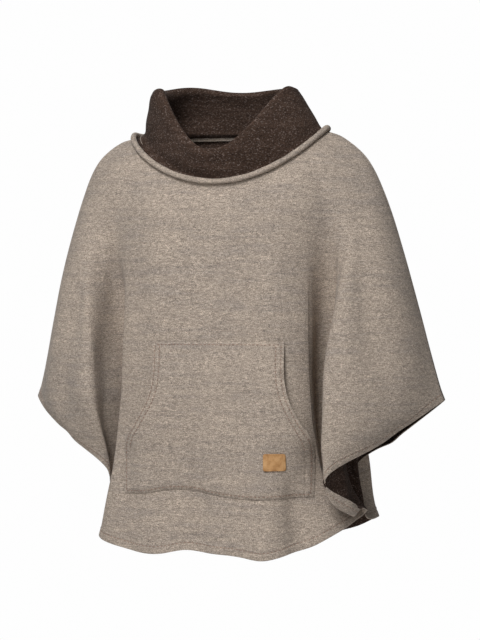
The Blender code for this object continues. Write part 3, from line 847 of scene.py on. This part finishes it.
def crease_depth(face, place, x, z):
    depth = 0.0
    for crease in CREASES:
        low, high = crease["low"], crease["high"]
        if crease["face"] != face or not low <= place <= high:
            continue
        run_x, run_z = crease["x1"] - crease["x0"], crease["z1"] - crease["z0"]
        off_x, off_z = x - crease["x0"], z - crease["z0"]
        length = math.hypot(run_x, run_z)
        along = (off_x * run_x + off_z * run_z) / length**2
        if not -CREASE_OVERRUN < along < 1.0 + CREASE_OVERRUN:
            continue
        inside = 1.0 if low == -1.0 else smooth_step(low, low + CREASE_SIDE_FADE, place)
        inside *= 1.0 if high == 1.0 else smooth_step(high, high - CREASE_SIDE_FADE, place)
        aside = (off_x * run_z - off_z * run_x) / length
        taper = smooth_step(-CREASE_OVERRUN, CREASE_FULL_FROM, along)
        taper *= smooth_step(1.0 + CREASE_OVERRUN, CREASE_FULL_TO, along)
        depth += crease["depth"] * inside * taper * bell(aside / crease["width"])
    return depth


def unit(vectors):
    return vectors / np.maximum(np.linalg.norm(vectors, axis=-1, keepdims=True), 1e-12)


def grid_normals(face, points):
    along = np.gradient(points, axis=0)
    down = np.gradient(points, axis=1)
    return unit(np.cross(along, down) if face == "back" else np.cross(down, along))


def cloth_places():
    half = steps_between(LINE_PLACES, CLOTH_STEPS)
    return [-place for place in reversed(half[1:])] + half


def cloth_shares():
    """From just under the neck seam down to the free edge, closer together over the hem."""
    top = SEAM_GAP / (HEM_FRONT - NECK_FRONT_DROP)
    shares = [top + (NECK_SHARE - top) * i / NECK_ROWS for i in range(NECK_ROWS)]
    shares += [NECK_SHARE + (HEM_SHARE - NECK_SHARE) * i / CLOTH_ROWS for i in range(CLOTH_ROWS)]
    return shares + [HEM_SHARE + (1.0 - HEM_SHARE) * i / HEM_ROWS for i in range(HEM_ROWS + 1)]


@functools.lru_cache(maxsize=None)
def bare_cloth(face):
    places, shares = cloth_places(), cloth_shares()
    return np.array([[panel_point(face, place, share) for share in shares] for place in places])


def eased(points, places, shares):
    """Rounds the tight turn at the wing's inner tip, on the wearer's left, where felt can't fold flat."""
    near = np.clip(1.0 - np.abs(places - TIP_PLACE) / TIP_REACH, 0.0, 1.0)[:, None]
    low = np.clip((shares - TIP_SHARE) / (1.0 - TIP_SHARE) * TIP_GROWTH, 0.0, 1.0)[None, :]
    weight = (near * low)[1:-1, :, None]
    points = points.copy()
    for _ in range(TIP_ROUNDS):
        middle = (points[:-2] + 2 * points[1:-1] + points[2:]) / 4
        points[1:-1] += weight * (middle - points[1:-1])
    return points


@functools.lru_cache(maxsize=None)
def cloth(face):
    """One panel's outer points and normals by column and row, and how far each is from the free edge."""
    places, shares = cloth_places(), cloth_shares()
    points = bare_cloth(face)
    ways = grid_normals(face, points)
    steps = np.linalg.norm(np.diff(points, axis=1), axis=2)
    from_edge = np.zeros(points.shape[:2])
    from_edge[:, :-1] = np.cumsum(steps[:, ::-1], axis=1)[:, ::-1]
    from_neck = np.zeros(points.shape[:2])
    from_neck[:, 1:] = np.cumsum(steps, axis=1)
    seed = 1.0 if face == "front" else 2.0
    out = np.zeros(points.shape[:2])
    for column, place in enumerate(places):
        seam = smooth_step(1.0, SEAM_FLAT_FROM, abs(place))
        for row, share in enumerate(shares):
            point = Vector(points[column, row])
            edge = from_edge[column, row]
            below = from_neck[column, row] - NECK_GROOVE_AT
            soft = crease_depth(face, place, point.x, point.z) + felt_wave(point, SOFTNESS, seed)
            band = HEM_RAISE * smooth_step(HEM_BAND + HEM_BAND_EDGE, HEM_BAND - HEM_BAND_EDGE, edge)
            groove = HEM_GROOVE * bell((edge - HEM_STITCH) / HEM_GROOVE_WIDTH)
            groove += NECK_GROOVE * bell(below / NECK_GROOVE_WIDTH)
            out[column, row] = (soft * smooth_step(0.0, NECK_FLAT_TO, share) + band - groove) * seam
    seams = unit(grid_normals("front", bare_cloth("front")) + grid_normals("back", bare_cloth("back")))
    for column in (0, -1):
        ways[column] = seams[column]
        out[column] = -SEAM_DIP
    points = points + ways * out[..., None]
    if face == "front":
        points = eased(points, np.array(places), np.array(shares))
    apart = np.array((0.0, -SEAM_GAP / 2 if face == "front" else SEAM_GAP / 2, 0.0))
    points[0] += apart
    points[-1] += apart
    return points, grid_normals(face, points), from_edge


def object_of(name, bm, *materials):
    bmesh.ops.recalc_face_normals(bm, faces=bm.faces)
    mesh = bpy.data.meshes.new(name)
    bm.to_mesh(mesh)
    bm.free()
    mesh.shade_smooth()
    for material in materials:
        mesh.materials.append(material)
    obj = bpy.data.objects.new(name, mesh)
    bpy.context.scene.collection.objects.link(obj)
    return obj


def lay_grid(bm, points, index=0):
    """Adds a grid of faces with a corner at each of these points, by column and row."""
    columns, rows = points.shape[0] - 1, points.shape[1] - 1
    old = set(bm.faces)
    made = bmesh.ops.create_grid(bm, x_segments=columns, y_segments=rows, size=1.0)
    for vert in made["verts"]:
        vert.co = points[round((vert.co.x + 1) / 2 * columns), round((vert.co.y + 1) / 2 * rows)]
    for face in bm.faces:
        if face not in old:
            face.material_index = index


def two_faced(name, outer, inner, *materials):
    """A closed sheet from two grids of points; the inner one takes the last of the materials."""
    bm = bmesh.new()
    lay_grid(bm, outer)
    lay_grid(bm, inner, len(materials) - 1)
    bmesh.ops.bridge_loops(bm, edges=[edge for edge in bm.edges if edge.is_boundary])
    return object_of(name, bm, *materials)


def ring_tube(name, points, material):
    """A closed ring from points by column round the ring and row round its section."""
    bm = bmesh.new()
    lay_grid(bm, np.pad(points, ((0, 1), (0, 1), (0, 0)), mode="wrap"))
    bmesh.ops.remove_doubles(bm, verts=bm.verts, dist=1e-7)
    return object_of(name, bm, material)


def evenly(points, normals, pitch, reach=0.001):
    """Points, normals and directions at even steps of this pitch along a line."""
    steps = np.linalg.norm(np.diff(points, axis=0), axis=1)
    ways = np.concatenate([[0.0], np.cumsum(steps)])
    count = max(int(ways[-1] / pitch), 1)
    at = (np.arange(count) + 0.5) * ways[-1] / count

    def along(where, values):
        return np.stack([np.interp(where, ways, values[:, i]) for i in range(3)], axis=1)

    ahead = along(at + reach, points) - along(at - reach, points)
    return along(at, points), unit(along(at, normals)), unit(ahead)


def sew(bm, points, normals):
    """A row of small threads along a line, each a little sunk into the cloth."""
    places, ups, ways = evenly(points, normals, chosen().pitch)
    for i, (place, up, way) in enumerate(zip(places, ups, ways)):
        up, way = Vector(up), Vector(way)
        aside = up.cross(way).normalized()
        lean = STITCH_LEAN * noise.noise(Vector((i * 1.7, 3.1, 0.4)))
        way = (way + aside * lean).normalized()
        up = way.cross(aside).normalized() * (1.0 if way.cross(aside).dot(up) > 0 else -1.0)
        middle = Vector(place) + up * THREAD * (1.0 - 2 * STITCH_SUNK)
        length = chosen().stitch * (1.0 + STITCH_UNEVEN * noise.noise(Vector((i * 2.3, 9.0, 1.0))))
        turn = Matrix((way * length / 2, aside * THREAD, up * THREAD)).transposed().to_4x4()
        lying = Matrix.Translation(middle) @ turn @ Matrix.Rotation(math.pi / 2, 4, "Y")
        bmesh.ops.create_uvsphere(bm, u_segments=6, v_segments=4, radius=1.0, matrix=lying)


def hem_line(face, away):
    """The line on one panel's outer face that runs this far from its free edge, with its normals."""
    points, normals, from_edge = cloth(face)

    def at_edge(values):
        lines = zip(from_edge[:, ::-1], values[:, ::-1])
        return np.array([[np.interp(away, ways, line[:, i]) for i in range(3)] for ways, line in lines])

    return at_edge(points), unit(at_edge(normals))


def make_panel(face):
    points, normals, from_edge = cloth(face)
    mitres = unit(cloth("front")[1] + cloth("back")[1])
    wall = np.full(points.shape[:2], chosen().wall)
    ways = normals.copy()
    for column in (0, -1):
        ways[column] = mitres[column]
        wall[column] /= np.maximum(np.sum(mitres[column] * normals[column], axis=1), SHARPEST_MITRE)
    near = 1.0 - np.clip(from_edge / EDGE_ROUND, 0.0, 1.0)
    rounded = EDGE_ROUND_DEPTH * (1.0 - np.sqrt(1.0 - near**2))
    outer = points - ways * rounded[..., None]
    inner = points - ways * (wall - rounded)[..., None]
    return two_faced(face + "_cloth", outer, inner, felt("beige_felt"), felt("brown_felt"))


def collar_mark(angle):
    """How strongly the rim's thick roll on the wearer's right is felt at this angle."""
    return bell(turned_from(angle, RIM_RIGHT_ANGLE) / RIM_RIGHT_REACH)


def collar_column(angle):
    """The outer points up from the neck seam, those over the folded rim, and the inner ones down."""
    mark = collar_mark(angle)
    lift = sum(high * bell(turned_from(angle, at) / reach) for at, reach, high in RIM_LIFTS)
    to_back = math.radians(abs(turned_from(angle, 180.0))) * RIM_HALF_WIDTH
    seam = COLLAR_SEAM_DEPTH * bell(to_back / COLLAR_SEAM_WIDTH)
    out = ring_outward(angle)
    rise = rim_point(angle) - neck_point(angle)
    crown = RIM_ROUND + (RIM_ROUND_RIGHT - RIM_ROUND) * mark
    rim_thick = RIM_THICK + (RIM_THICK_RIGHT - RIM_THICK) * mark
    top = 1.0 - (crown - COLLAR_CREST) / rise.length
    outer, inner = [], []
    for i in range(COLLAR_ROWS + 1):
        height = COLLAR_START + (top - COLLAR_START) * i / COLLAR_ROWS
        point = collar_point(angle, height)
        wave = felt_wave(point, COLLAR_SOFTNESS, 3.0) * smooth_step(*COLLAR_SOFT_HEIGHTS, height)
        point = point + out * (wave - seam) + Vector((0.0, 0.0, lift * height))
        thickening = smooth_step(COLLAR_THICK_FROM, top, height) ** COLLAR_THICK_POWER
        thick = COLLAR_WALL + (rim_thick - COLLAR_WALL) * thickening
        thick += COLLAR_TURNING * bell((height - COLLAR_TURNING_HEIGHT) / COLLAR_TURNING_REACH)
        outer.append(point)
        inner.append(point - collar_normal(angle, height) * thick + out * 2 * seam)
    across = outer[-1] - inner[-1]
    share = 0.5 + (RIM_OUTER_SHARE - 0.5) * mark
    crest = outer[-1] - across * share
    fold = []
    for i in range(1, COLLAR_FOLD_ROWS):
        turn = math.pi * i / COLLAR_FOLD_ROWS
        reach = share if math.cos(turn) > 0 else 1.0 - share
        fold.append(crest + across * reach * math.cos(turn) + rise.normalized() * crown * math.sin(turn))
    return outer + fold + inner[::-1]


@functools.lru_cache(maxsize=None)
def collar_cloth():
    """The collar's points: columns round the neck, rows up outside, over the rim and down inside."""
    return np.array([collar_column(360.0 * column / COLLAR_ROUND) for column in range(COLLAR_ROUND)])


def make_collar():
    return ring_tube("collar_cloth", collar_cloth(), felt("brown_felt"))


def ring_frame(middles):
    """The outward and the upward way at each point of a ring round the neck."""
    count = len(middles)
    ways = unit(np.roll(middles, -1, axis=0) - np.roll(middles, 1, axis=0))
    outs = np.array([ring_outward(360.0 * column / count) for column in range(count)])
    outs = unit(outs - ways * np.sum(outs * ways, axis=1, keepdims=True))
    return outs, np.cross(ways, outs)


def roll_middles():
    """The middle of the neck roll, where it touches both the panels and the collar."""
    reach = BINDING_RADIUS + 3 * SEAM_GAP
    middles = []
    for column in range(ROLL_ROUND):
        angle = 360.0 * column / ROLL_ROUND
        panel = neck_panel_normal(angle)
        collar = collar_normal(angle, 0.0)
        half = math.acos(max(-1.0, min(1.0, panel.dot(collar)))) / 2
        middles.append(neck_point(angle) + (panel + collar).normalized() * reach / math.cos(half))
    middles = np.array(middles)
    for _ in range(3):
        middles = (np.roll(middles, 1, axis=0) + 2 * middles + np.roll(middles, -1, axis=0)) / 4
    return middles


def make_neck_tape():
    """The binding's inner side: a flat beige tape over the seam inside the neck."""
    lows = collar_cloth()[:, -1] - np.array((0.0, 0.0, TAPE_DROP))
    outs, ups = ring_frame(lows)
    rings = []
    for row in range(TAPE_SIDES):
        turn = 2 * math.pi * row / TAPE_SIDES
        rings.append(lows + outs * TAPE_THICK / 2 * math.cos(turn) + ups * TAPE_WIDTH / 2 * math.sin(turn))
    return ring_tube("neck_tape", np.stack(rings, axis=1), felt("beige_felt"))


def make_roll():
    middles = roll_middles()
    rings = []
    for middle, out, up in zip(middles, *ring_frame(middles)):
        ring = []
        for row in range(ROLL_SIDES):
            turn = 2 * math.pi * row / ROLL_SIDES
            way = out * math.cos(turn) + up * math.sin(turn)
            point = Vector(middle + way * BINDING_RADIUS)
            soft = sum(ROLL_RIPPLE * noise.noise(point * fineness) for fineness in ROLL_RIPPLES)
            ring.append(np.array(point) + way * soft)
        rings.append(ring)
    return ring_tube("neck_roll", np.array(rings), felt("beige_felt"))


@functools.lru_cache(maxsize=None)
def front_tree():
    """The dressed front panel's outer face, to lay the pocket and the tab on."""
    points = cloth("front")[0]
    columns, rows = points.shape[:2]
    faces = [
        (c * rows + r, (c + 1) * rows + r, (c + 1) * rows + r + 1, c * rows + r + 1)
        for c in range(columns - 1)
        for r in range(rows - 1)
    ]
    return BVHTree.FromPolygons([Vector(point) for point in points.reshape(-1, 3)], faces)


def on_front(x, z):
    hit = front_tree().ray_cast(Vector((x, -1.0, z)), Vector((0.0, 1.0, 0.0)))[0]
    if hit is None:
        raise ValueError(f"the front panel isn't there at {x:.3f}, {z:.3f}")
    return hit


def front_frame(x, z):
    """The front panel's face at this x and z, and its outward direction, which leans to straight ahead."""
    across = on_front(x + LAID_REACH, z) - on_front(x - LAID_REACH, z)
    down = on_front(x, z - LAID_REACH) - on_front(x, z + LAID_REACH)
    normal = down.cross(across).normalized()
    return on_front(x, z), (normal + Vector((0.0, -LAID_LEAN, 0.0))).normalized()


def pocket_height(down):
    return POCKET_TOP + (POCKET_BOTTOM - POCKET_TOP) * down


def pocket_at(across, down, out):
    """A point this far over the pocket's inner face, by its place across and down it, and its normal."""
    z = pocket_height(down)
    x = pocket_size("middle", z) + across * pocket_size("half_width", z)
    foot = min(max(x, POCKET_FOOT_ENDS[0]), POCKET_FOOT_ENDS[1])
    z += curve_at(POCKET_FOOT_X, POCKET_FOOT_LIFT, foot) * smooth_step(POCKET_FOOT_FROM, 1.0, down)
    point, normal = front_frame(x, z)
    gap = SEAM_GAP + (LAID_GAP - SEAM_GAP) * smooth_step(0.0, POCKET_GAP_REACH, min(down, 1.0 - down))
    return point + normal * (gap + pocket_lift(across, down) + out), normal


def pocket_wall(across, down):
    """The pocket's thickness, with a groove along each row of stitches, and how near its edge is."""
    side = (1.0 - abs(across)) * pocket_size("half_width", pocket_height(down))
    level = min(down, 1.0 - down) * (POCKET_TOP - POCKET_BOTTOM)
    near = min(side, level)
    mouth = smooth_step(*POCKET_MOUTH_DOWN, down) * smooth_step(*POCKET_MOUTH_SIDE, side)
    pressed = POCKET_PRESS * smooth_step(POCKET_PRESS_REACH, POCKET_PRESS_EDGE, near)
    wall = POCKET_WALL - pressed * (1.0 - POCKET_MOUTH_KEPT * mouth)
    for away in (side - POCKET_HEM, side - POCKET_INNER_ROW, level - POCKET_INNER_ROW):
        wall -= POCKET_GROOVE * bell(away / POCKET_GROOVE_WIDTH)
    return max(wall, POCKET_THINNEST), near


def make_pocket():
    columns, rows = POCKET_MESH
    outer = np.zeros((columns + 1, rows + 1, 3))
    inner = np.zeros((columns + 1, rows + 1, 3))
    for column in range(columns + 1):
        even = 2.0 * column / columns - 1.0
        across = POCKET_CROWD * math.sin(math.pi / 2 * even) + (1.0 - POCKET_CROWD) * even
        for row in range(rows + 1):
            down = 1.0 - row / rows
            base, normal = pocket_at(across, down, 0.0)
            wall, near = pocket_wall(across, down)
            swell = POCKET_SOFT * felt_wave(base, SOFTNESS, 4.0) * smooth_step(0.0, POCKET_SOFT_REACH, near)
            outer[column, row] = base + normal * (wall + max(swell, POCKET_DEEPEST))
            inner[column, row] = base
    return two_faced("pocket_cloth", outer, inner, felt("beige_felt"))


def pocket_line(path):
    """The line on the pocket's outer face through these places across and down it, with its normals."""
    laid = [pocket_at(across, down, POCKET_WALL) for across, down in path]
    return np.array([point for point, _ in laid]), np.array([normal for _, normal in laid])


def side_path(away, low, high, side):
    """Down one side of the pocket, this far in from its edge."""
    path = []
    for i in range(61):
        down = low + (high - low) * i / 60
        path.append((side * (1.0 - away / pocket_size("half_width", pocket_height(down))), down))
    return path


def level_path(down, reach):
    return [(-reach + 2 * reach * i / 80, down) for i in range(81)]


def rounded_corner(x, z):
    """Pulls a point of the tab's square corner in to the round one."""
    off_x, off_z = abs(x) - (TAB_WIDTH / 2 - TAB_CORNER), abs(z) - (TAB_HEIGHT / 2 - TAB_CORNER)
    if off_x <= 0 or off_z <= 0:
        return x, z
    far = 1.0 - max(off_x, off_z) / math.hypot(off_x, off_z)
    return x - math.copysign(off_x * far, x), z - math.copysign(off_z * far, z)


def make_tab():
    """A rounded square of leather, its edges burnished down and a row pressed along them."""
    middle_x, middle_z = TAB_CENTRE
    outer = np.zeros((TAB_MESH + 1, TAB_MESH + 1, 3))
    inner = np.zeros((TAB_MESH + 1, TAB_MESH + 1, 3))
    for column in range(TAB_MESH + 1):
        for row in range(TAB_MESH + 1):
            u, v = 2.0 * column / TAB_MESH - 1.0, 2.0 * row / TAB_MESH - 1.0
            edge = min((1.0 - abs(u)) * TAB_WIDTH / 2, (1.0 - abs(v)) * TAB_HEIGHT / 2)
            x, z = rounded_corner(u * TAB_WIDTH / 2, v * TAB_HEIGHT / 2)
            x, z = x + middle_x, z + middle_z
            down = (z - POCKET_TOP) / (POCKET_BOTTOM - POCKET_TOP)
            across = (x - pocket_size("middle", z)) / pocket_size("half_width", z)
            base, normal = pocket_at(across, down, POCKET_WALL + LAID_GAP)
            worn = TAB_WORN * smooth_step(TAB_WORN_REACH, 0.0, edge)
            groove = TAB_GROOVE * bell((edge - TAB_ROW) / TAB_GROOVE_WIDTH)
            outer[column, row] = base + normal * (TAB_WALL + TAB_RAISE - worn - groove)
            inner[column, row] = base
    return two_faced("tab_leather", outer, inner, leather("tan_leather"))


class PonchoSizes(bpy.types.PropertyGroup):
    """What may be changed about the dressed poncho before it is made."""

    wall: bpy.props.FloatProperty(
        name="Felt thickness", description="Thickness of the panels' felt",
        default=WALL, min=0.0015, max=0.005, unit="LENGTH",
    )
    nap: bpy.props.FloatProperty(
        name="Nap", description="How strongly the felt's nap shows, from smooth to shaggy",
        default=0.45, min=0.0, max=1.0, subtype="FACTOR",
    )
    stitch: bpy.props.FloatProperty(
        name="Stitch length", description="Length of one thread of the topstitching",
        default=STITCH, min=0.002, max=0.009, unit="LENGTH",
    )
    pitch: bpy.props.FloatProperty(
        name="Stitch pitch", description="From the start of one stitch to the start of the next",
        default=STITCH_PITCH, min=0.003, max=0.015, unit="LENGTH",
    )
    beige: bpy.props.FloatVectorProperty(
        name="Beige felt", description="Colour of the panels', the neck roll's and the pocket's felt",
        default=BEIGE, min=0.0, max=1.0, size=3, subtype="COLOR",
    )
    brown: bpy.props.FloatVectorProperty(
        name="Brown felt", description="Colour of the collar's felt and of the panels' inside",
        default=BROWN, min=0.0, max=1.0, size=3, subtype="COLOR",
    )
    tan: bpy.props.FloatVectorProperty(
        name="Leather", description="Colour of the tab's leather",
        default=TAN, min=0.0, max=1.0, size=3, subtype="COLOR",
    )
    thread: bpy.props.FloatVectorProperty(
        name="Thread", description="Colour of the sewing thread",
        default=THREAD_COLOUR, min=0.0, max=1.0, size=3, subtype="COLOR",
    )
    light: bpy.props.FloatProperty(
        name="Studio light", description="Strength of all the softboxes, against the plain studio's",
        default=1.0, min=0.1, max=4.0, subtype="FACTOR",
    )


def chosen():
    return bpy.context.scene.poncho_sizes


class PONCHO_OT_panels(bpy.types.Operator):
    """Make the dressed front and back panels with their hem threads"""

    bl_idname = "poncho.panels"
    bl_label = "Panels"
    bl_options = {"REGISTER", "UNDO"}

    def execute(self, context):
        for face, (width, length, area) in (("front", FRONT_FLAT), ("back", BACK_FLAT)):
            piece = settle(make_panel(face), face + "_panel")
            bm = bmesh.new()
            sew(bm, *hem_line(face, HEM_STITCH))
            threads = settle(object_of(face + "_hem_threads", bm, thread("hem_thread")))
        return {"FINISHED"}


class PONCHO_OT_collar(bpy.types.Operator):
    """Make the folded funnel collar"""

    bl_idname = "poncho.collar"
    bl_label = "Collar"
    bl_options = {"REGISTER", "UNDO"}

    def execute(self, context):
        piece = settle(make_collar(), "collar")
        return {"FINISHED"}


class PONCHO_OT_neck_roll(bpy.types.Operator):
    """Make the padded roll over the neck seam, and the tape inside it"""

    bl_idname = "poncho.neck_roll"
    bl_label = "Neck roll"
    bl_options = {"REGISTER", "UNDO"}

    def execute(self, context):
        piece = settle(make_roll(), "neck_binding")
        settle(make_neck_tape())
        return {"FINISHED"}


class PONCHO_OT_pocket(bpy.types.Operator):
    """Make the kangaroo pocket with its rows of stitches"""

    bl_idname = "poncho.pocket"
    bl_label = "Kangaroo pocket"
    bl_options = {"REGISTER", "UNDO"}

    def execute(self, context):
        piece = settle(make_pocket(), "kangaroo_pocket")
        height = POCKET_TOP - POCKET_BOTTOM
        bm = bmesh.new()
        inset = POCKET_INNER_ROW / height
        rows = [level_path(inset, 0.94), level_path(1.0 - inset, 0.965)]
        for side in (-1.0, 1.0):
            rows.append(side_path(POCKET_HEM, 0.02, 0.70, side))
            rows.append(side_path(POCKET_INNER_ROW, 0.02, 0.985, side))
        for row in rows:
            sew(bm, *pocket_line(row))
        threads = settle(object_of("pocket_threads", bm, thread("pocket_thread")))
        return {"FINISHED"}


class PONCHO_OT_tab(bpy.types.Operator):
    """Make the blank leather tab"""

    bl_idname = "poncho.tab"
    bl_label = "Leather tab"
    bl_options = {"REGISTER", "UNDO"}

    def execute(self, context):
        settle(make_tab(), "leather_tab")
        return {"FINISHED"}


class PONCHO_OT_stage(bpy.types.Operator):
    """Set the pale floor, the soft lights and the camera"""

    bl_idname = "poncho.stage"
    bl_label = "Stage"
    bl_options = {"REGISTER", "UNDO"}

    def execute(self, context):
        bm = bmesh.new()
        centre = Matrix.Translation((0.0, 0.0, FLOOR_HEIGHT))
        bmesh.ops.create_circle(bm, cap_ends=True, segments=96, radius=FLOOR_RADIUS, matrix=centre)
        floor = object_of("floor", bm, floor_stuff("pale_floor"))
        scene = context.scene
        scene.view_settings.view_transform = "Standard"
        world = bpy.data.worlds.new("pale_studio")
        scene.world = world
        world.use_nodes = True
        tree = world.node_tree
        seen = tree.nodes["Background"]
        seen.inputs["Color"].default_value = (0.99, 0.99, 0.99, 1.0)
        seen.inputs["Strength"].default_value = 1.0
        lit = tree.nodes.new("ShaderNodeBackground")
        lit.inputs["Color"].default_value = (1.0, 0.99, 0.98, 1.0)
        lit.inputs["Strength"].default_value = SKY_LIGHT * chosen().light
        path = tree.nodes.new("ShaderNodeLightPath")
        either = tree.nodes.new("ShaderNodeMixShader")
        tree.links.new(path.outputs["Is Camera Ray"], either.inputs[0])
        tree.links.new(lit.outputs[0], either.inputs[1])
        tree.links.new(seen.outputs[0], either.inputs[2])
        tree.links.new(either.outputs[0], tree.nodes["World Output"].inputs["Surface"])
        for row in STUDIO_LIGHTS:
            light = bpy.data.lights.new(row["name"], "AREA")
            light.size = row["size"]
            light.energy = row["watts"] * chosen().light
            lamp = bpy.data.objects.new(row["name"], light)
            lamp.location = (row["x"], row["y"], row["z"])
            aim = Vector((0.0, 0.0, -0.3)) - lamp.location
            lamp.rotation_euler = aim.to_track_quat("-Z", "Y").to_euler()
            scene.collection.objects.link(lamp)
        place_camera(scene)
        return {"FINISHED"}


def place_camera(scene):
    turn, up = math.radians(CAMERA_ROUND), math.radians(CAMERA_UP)
    right = Vector((math.cos(turn), math.sin(turn), 0.0))
    back = Vector((math.sin(turn) * math.cos(up), -math.cos(turn) * math.cos(up), math.sin(up)))
    upward = back.cross(right)
    target = right * CAMERA_RIGHT - upward * CAMERA_DOWN
    data = bpy.data.cameras.new("camera")
    data.lens = CAMERA_LENS
    data.sensor_width = 36.0
    data.dof.use_dof = False
    camera = bpy.data.objects.new("camera", data)
    camera.matrix_world = Matrix((right, upward, back)).transposed().to_4x4()
    camera.location = target + back * CAMERA_DISTANCE
    scene.collection.objects.link(camera)
    scene.camera = camera


class PONCHO_PT_panel(bpy.types.Panel):
    bl_label = "Wool poncho"
    bl_idname = "PONCHO_PT_panel"
    bl_space_type = "VIEW_3D"
    bl_region_type = "UI"
    bl_category = "Poncho"

    def draw(self, context):
        sizes = context.scene.poncho_sizes
        for name in ("wall", "nap", "stitch", "pitch", "beige", "brown", "tan", "thread", "light"):
            self.layout.prop(sizes, name)
        for operator in OPERATORS:
            self.layout.operator(operator.bl_idname)


OPERATORS = (
    PONCHO_OT_panels,
    PONCHO_OT_collar,
    PONCHO_OT_neck_roll,
    PONCHO_OT_pocket,
    PONCHO_OT_tab,
    PONCHO_OT_stage,
)


def register():
    for kind in (PonchoSizes, *OPERATORS, PONCHO_PT_panel):
        bpy.utils.register_class(kind)
    bpy.types.Scene.poncho_sizes = bpy.props.PointerProperty(type=PonchoSizes)


def unregister():
    del bpy.types.Scene.poncho_sizes
    for kind in reversed((PonchoSizes, *OPERATORS, PONCHO_PT_panel)):
        bpy.utils.unregister_class(kind)


def main():
    register()
    bpy.ops.poncho.panels()
    bpy.ops.poncho.collar()
    bpy.ops.poncho.neck_roll()
    bpy.ops.poncho.pocket()
    bpy.ops.poncho.tab()
    bpy.ops.poncho.stage()


if __name__ == "__main__":
    main()
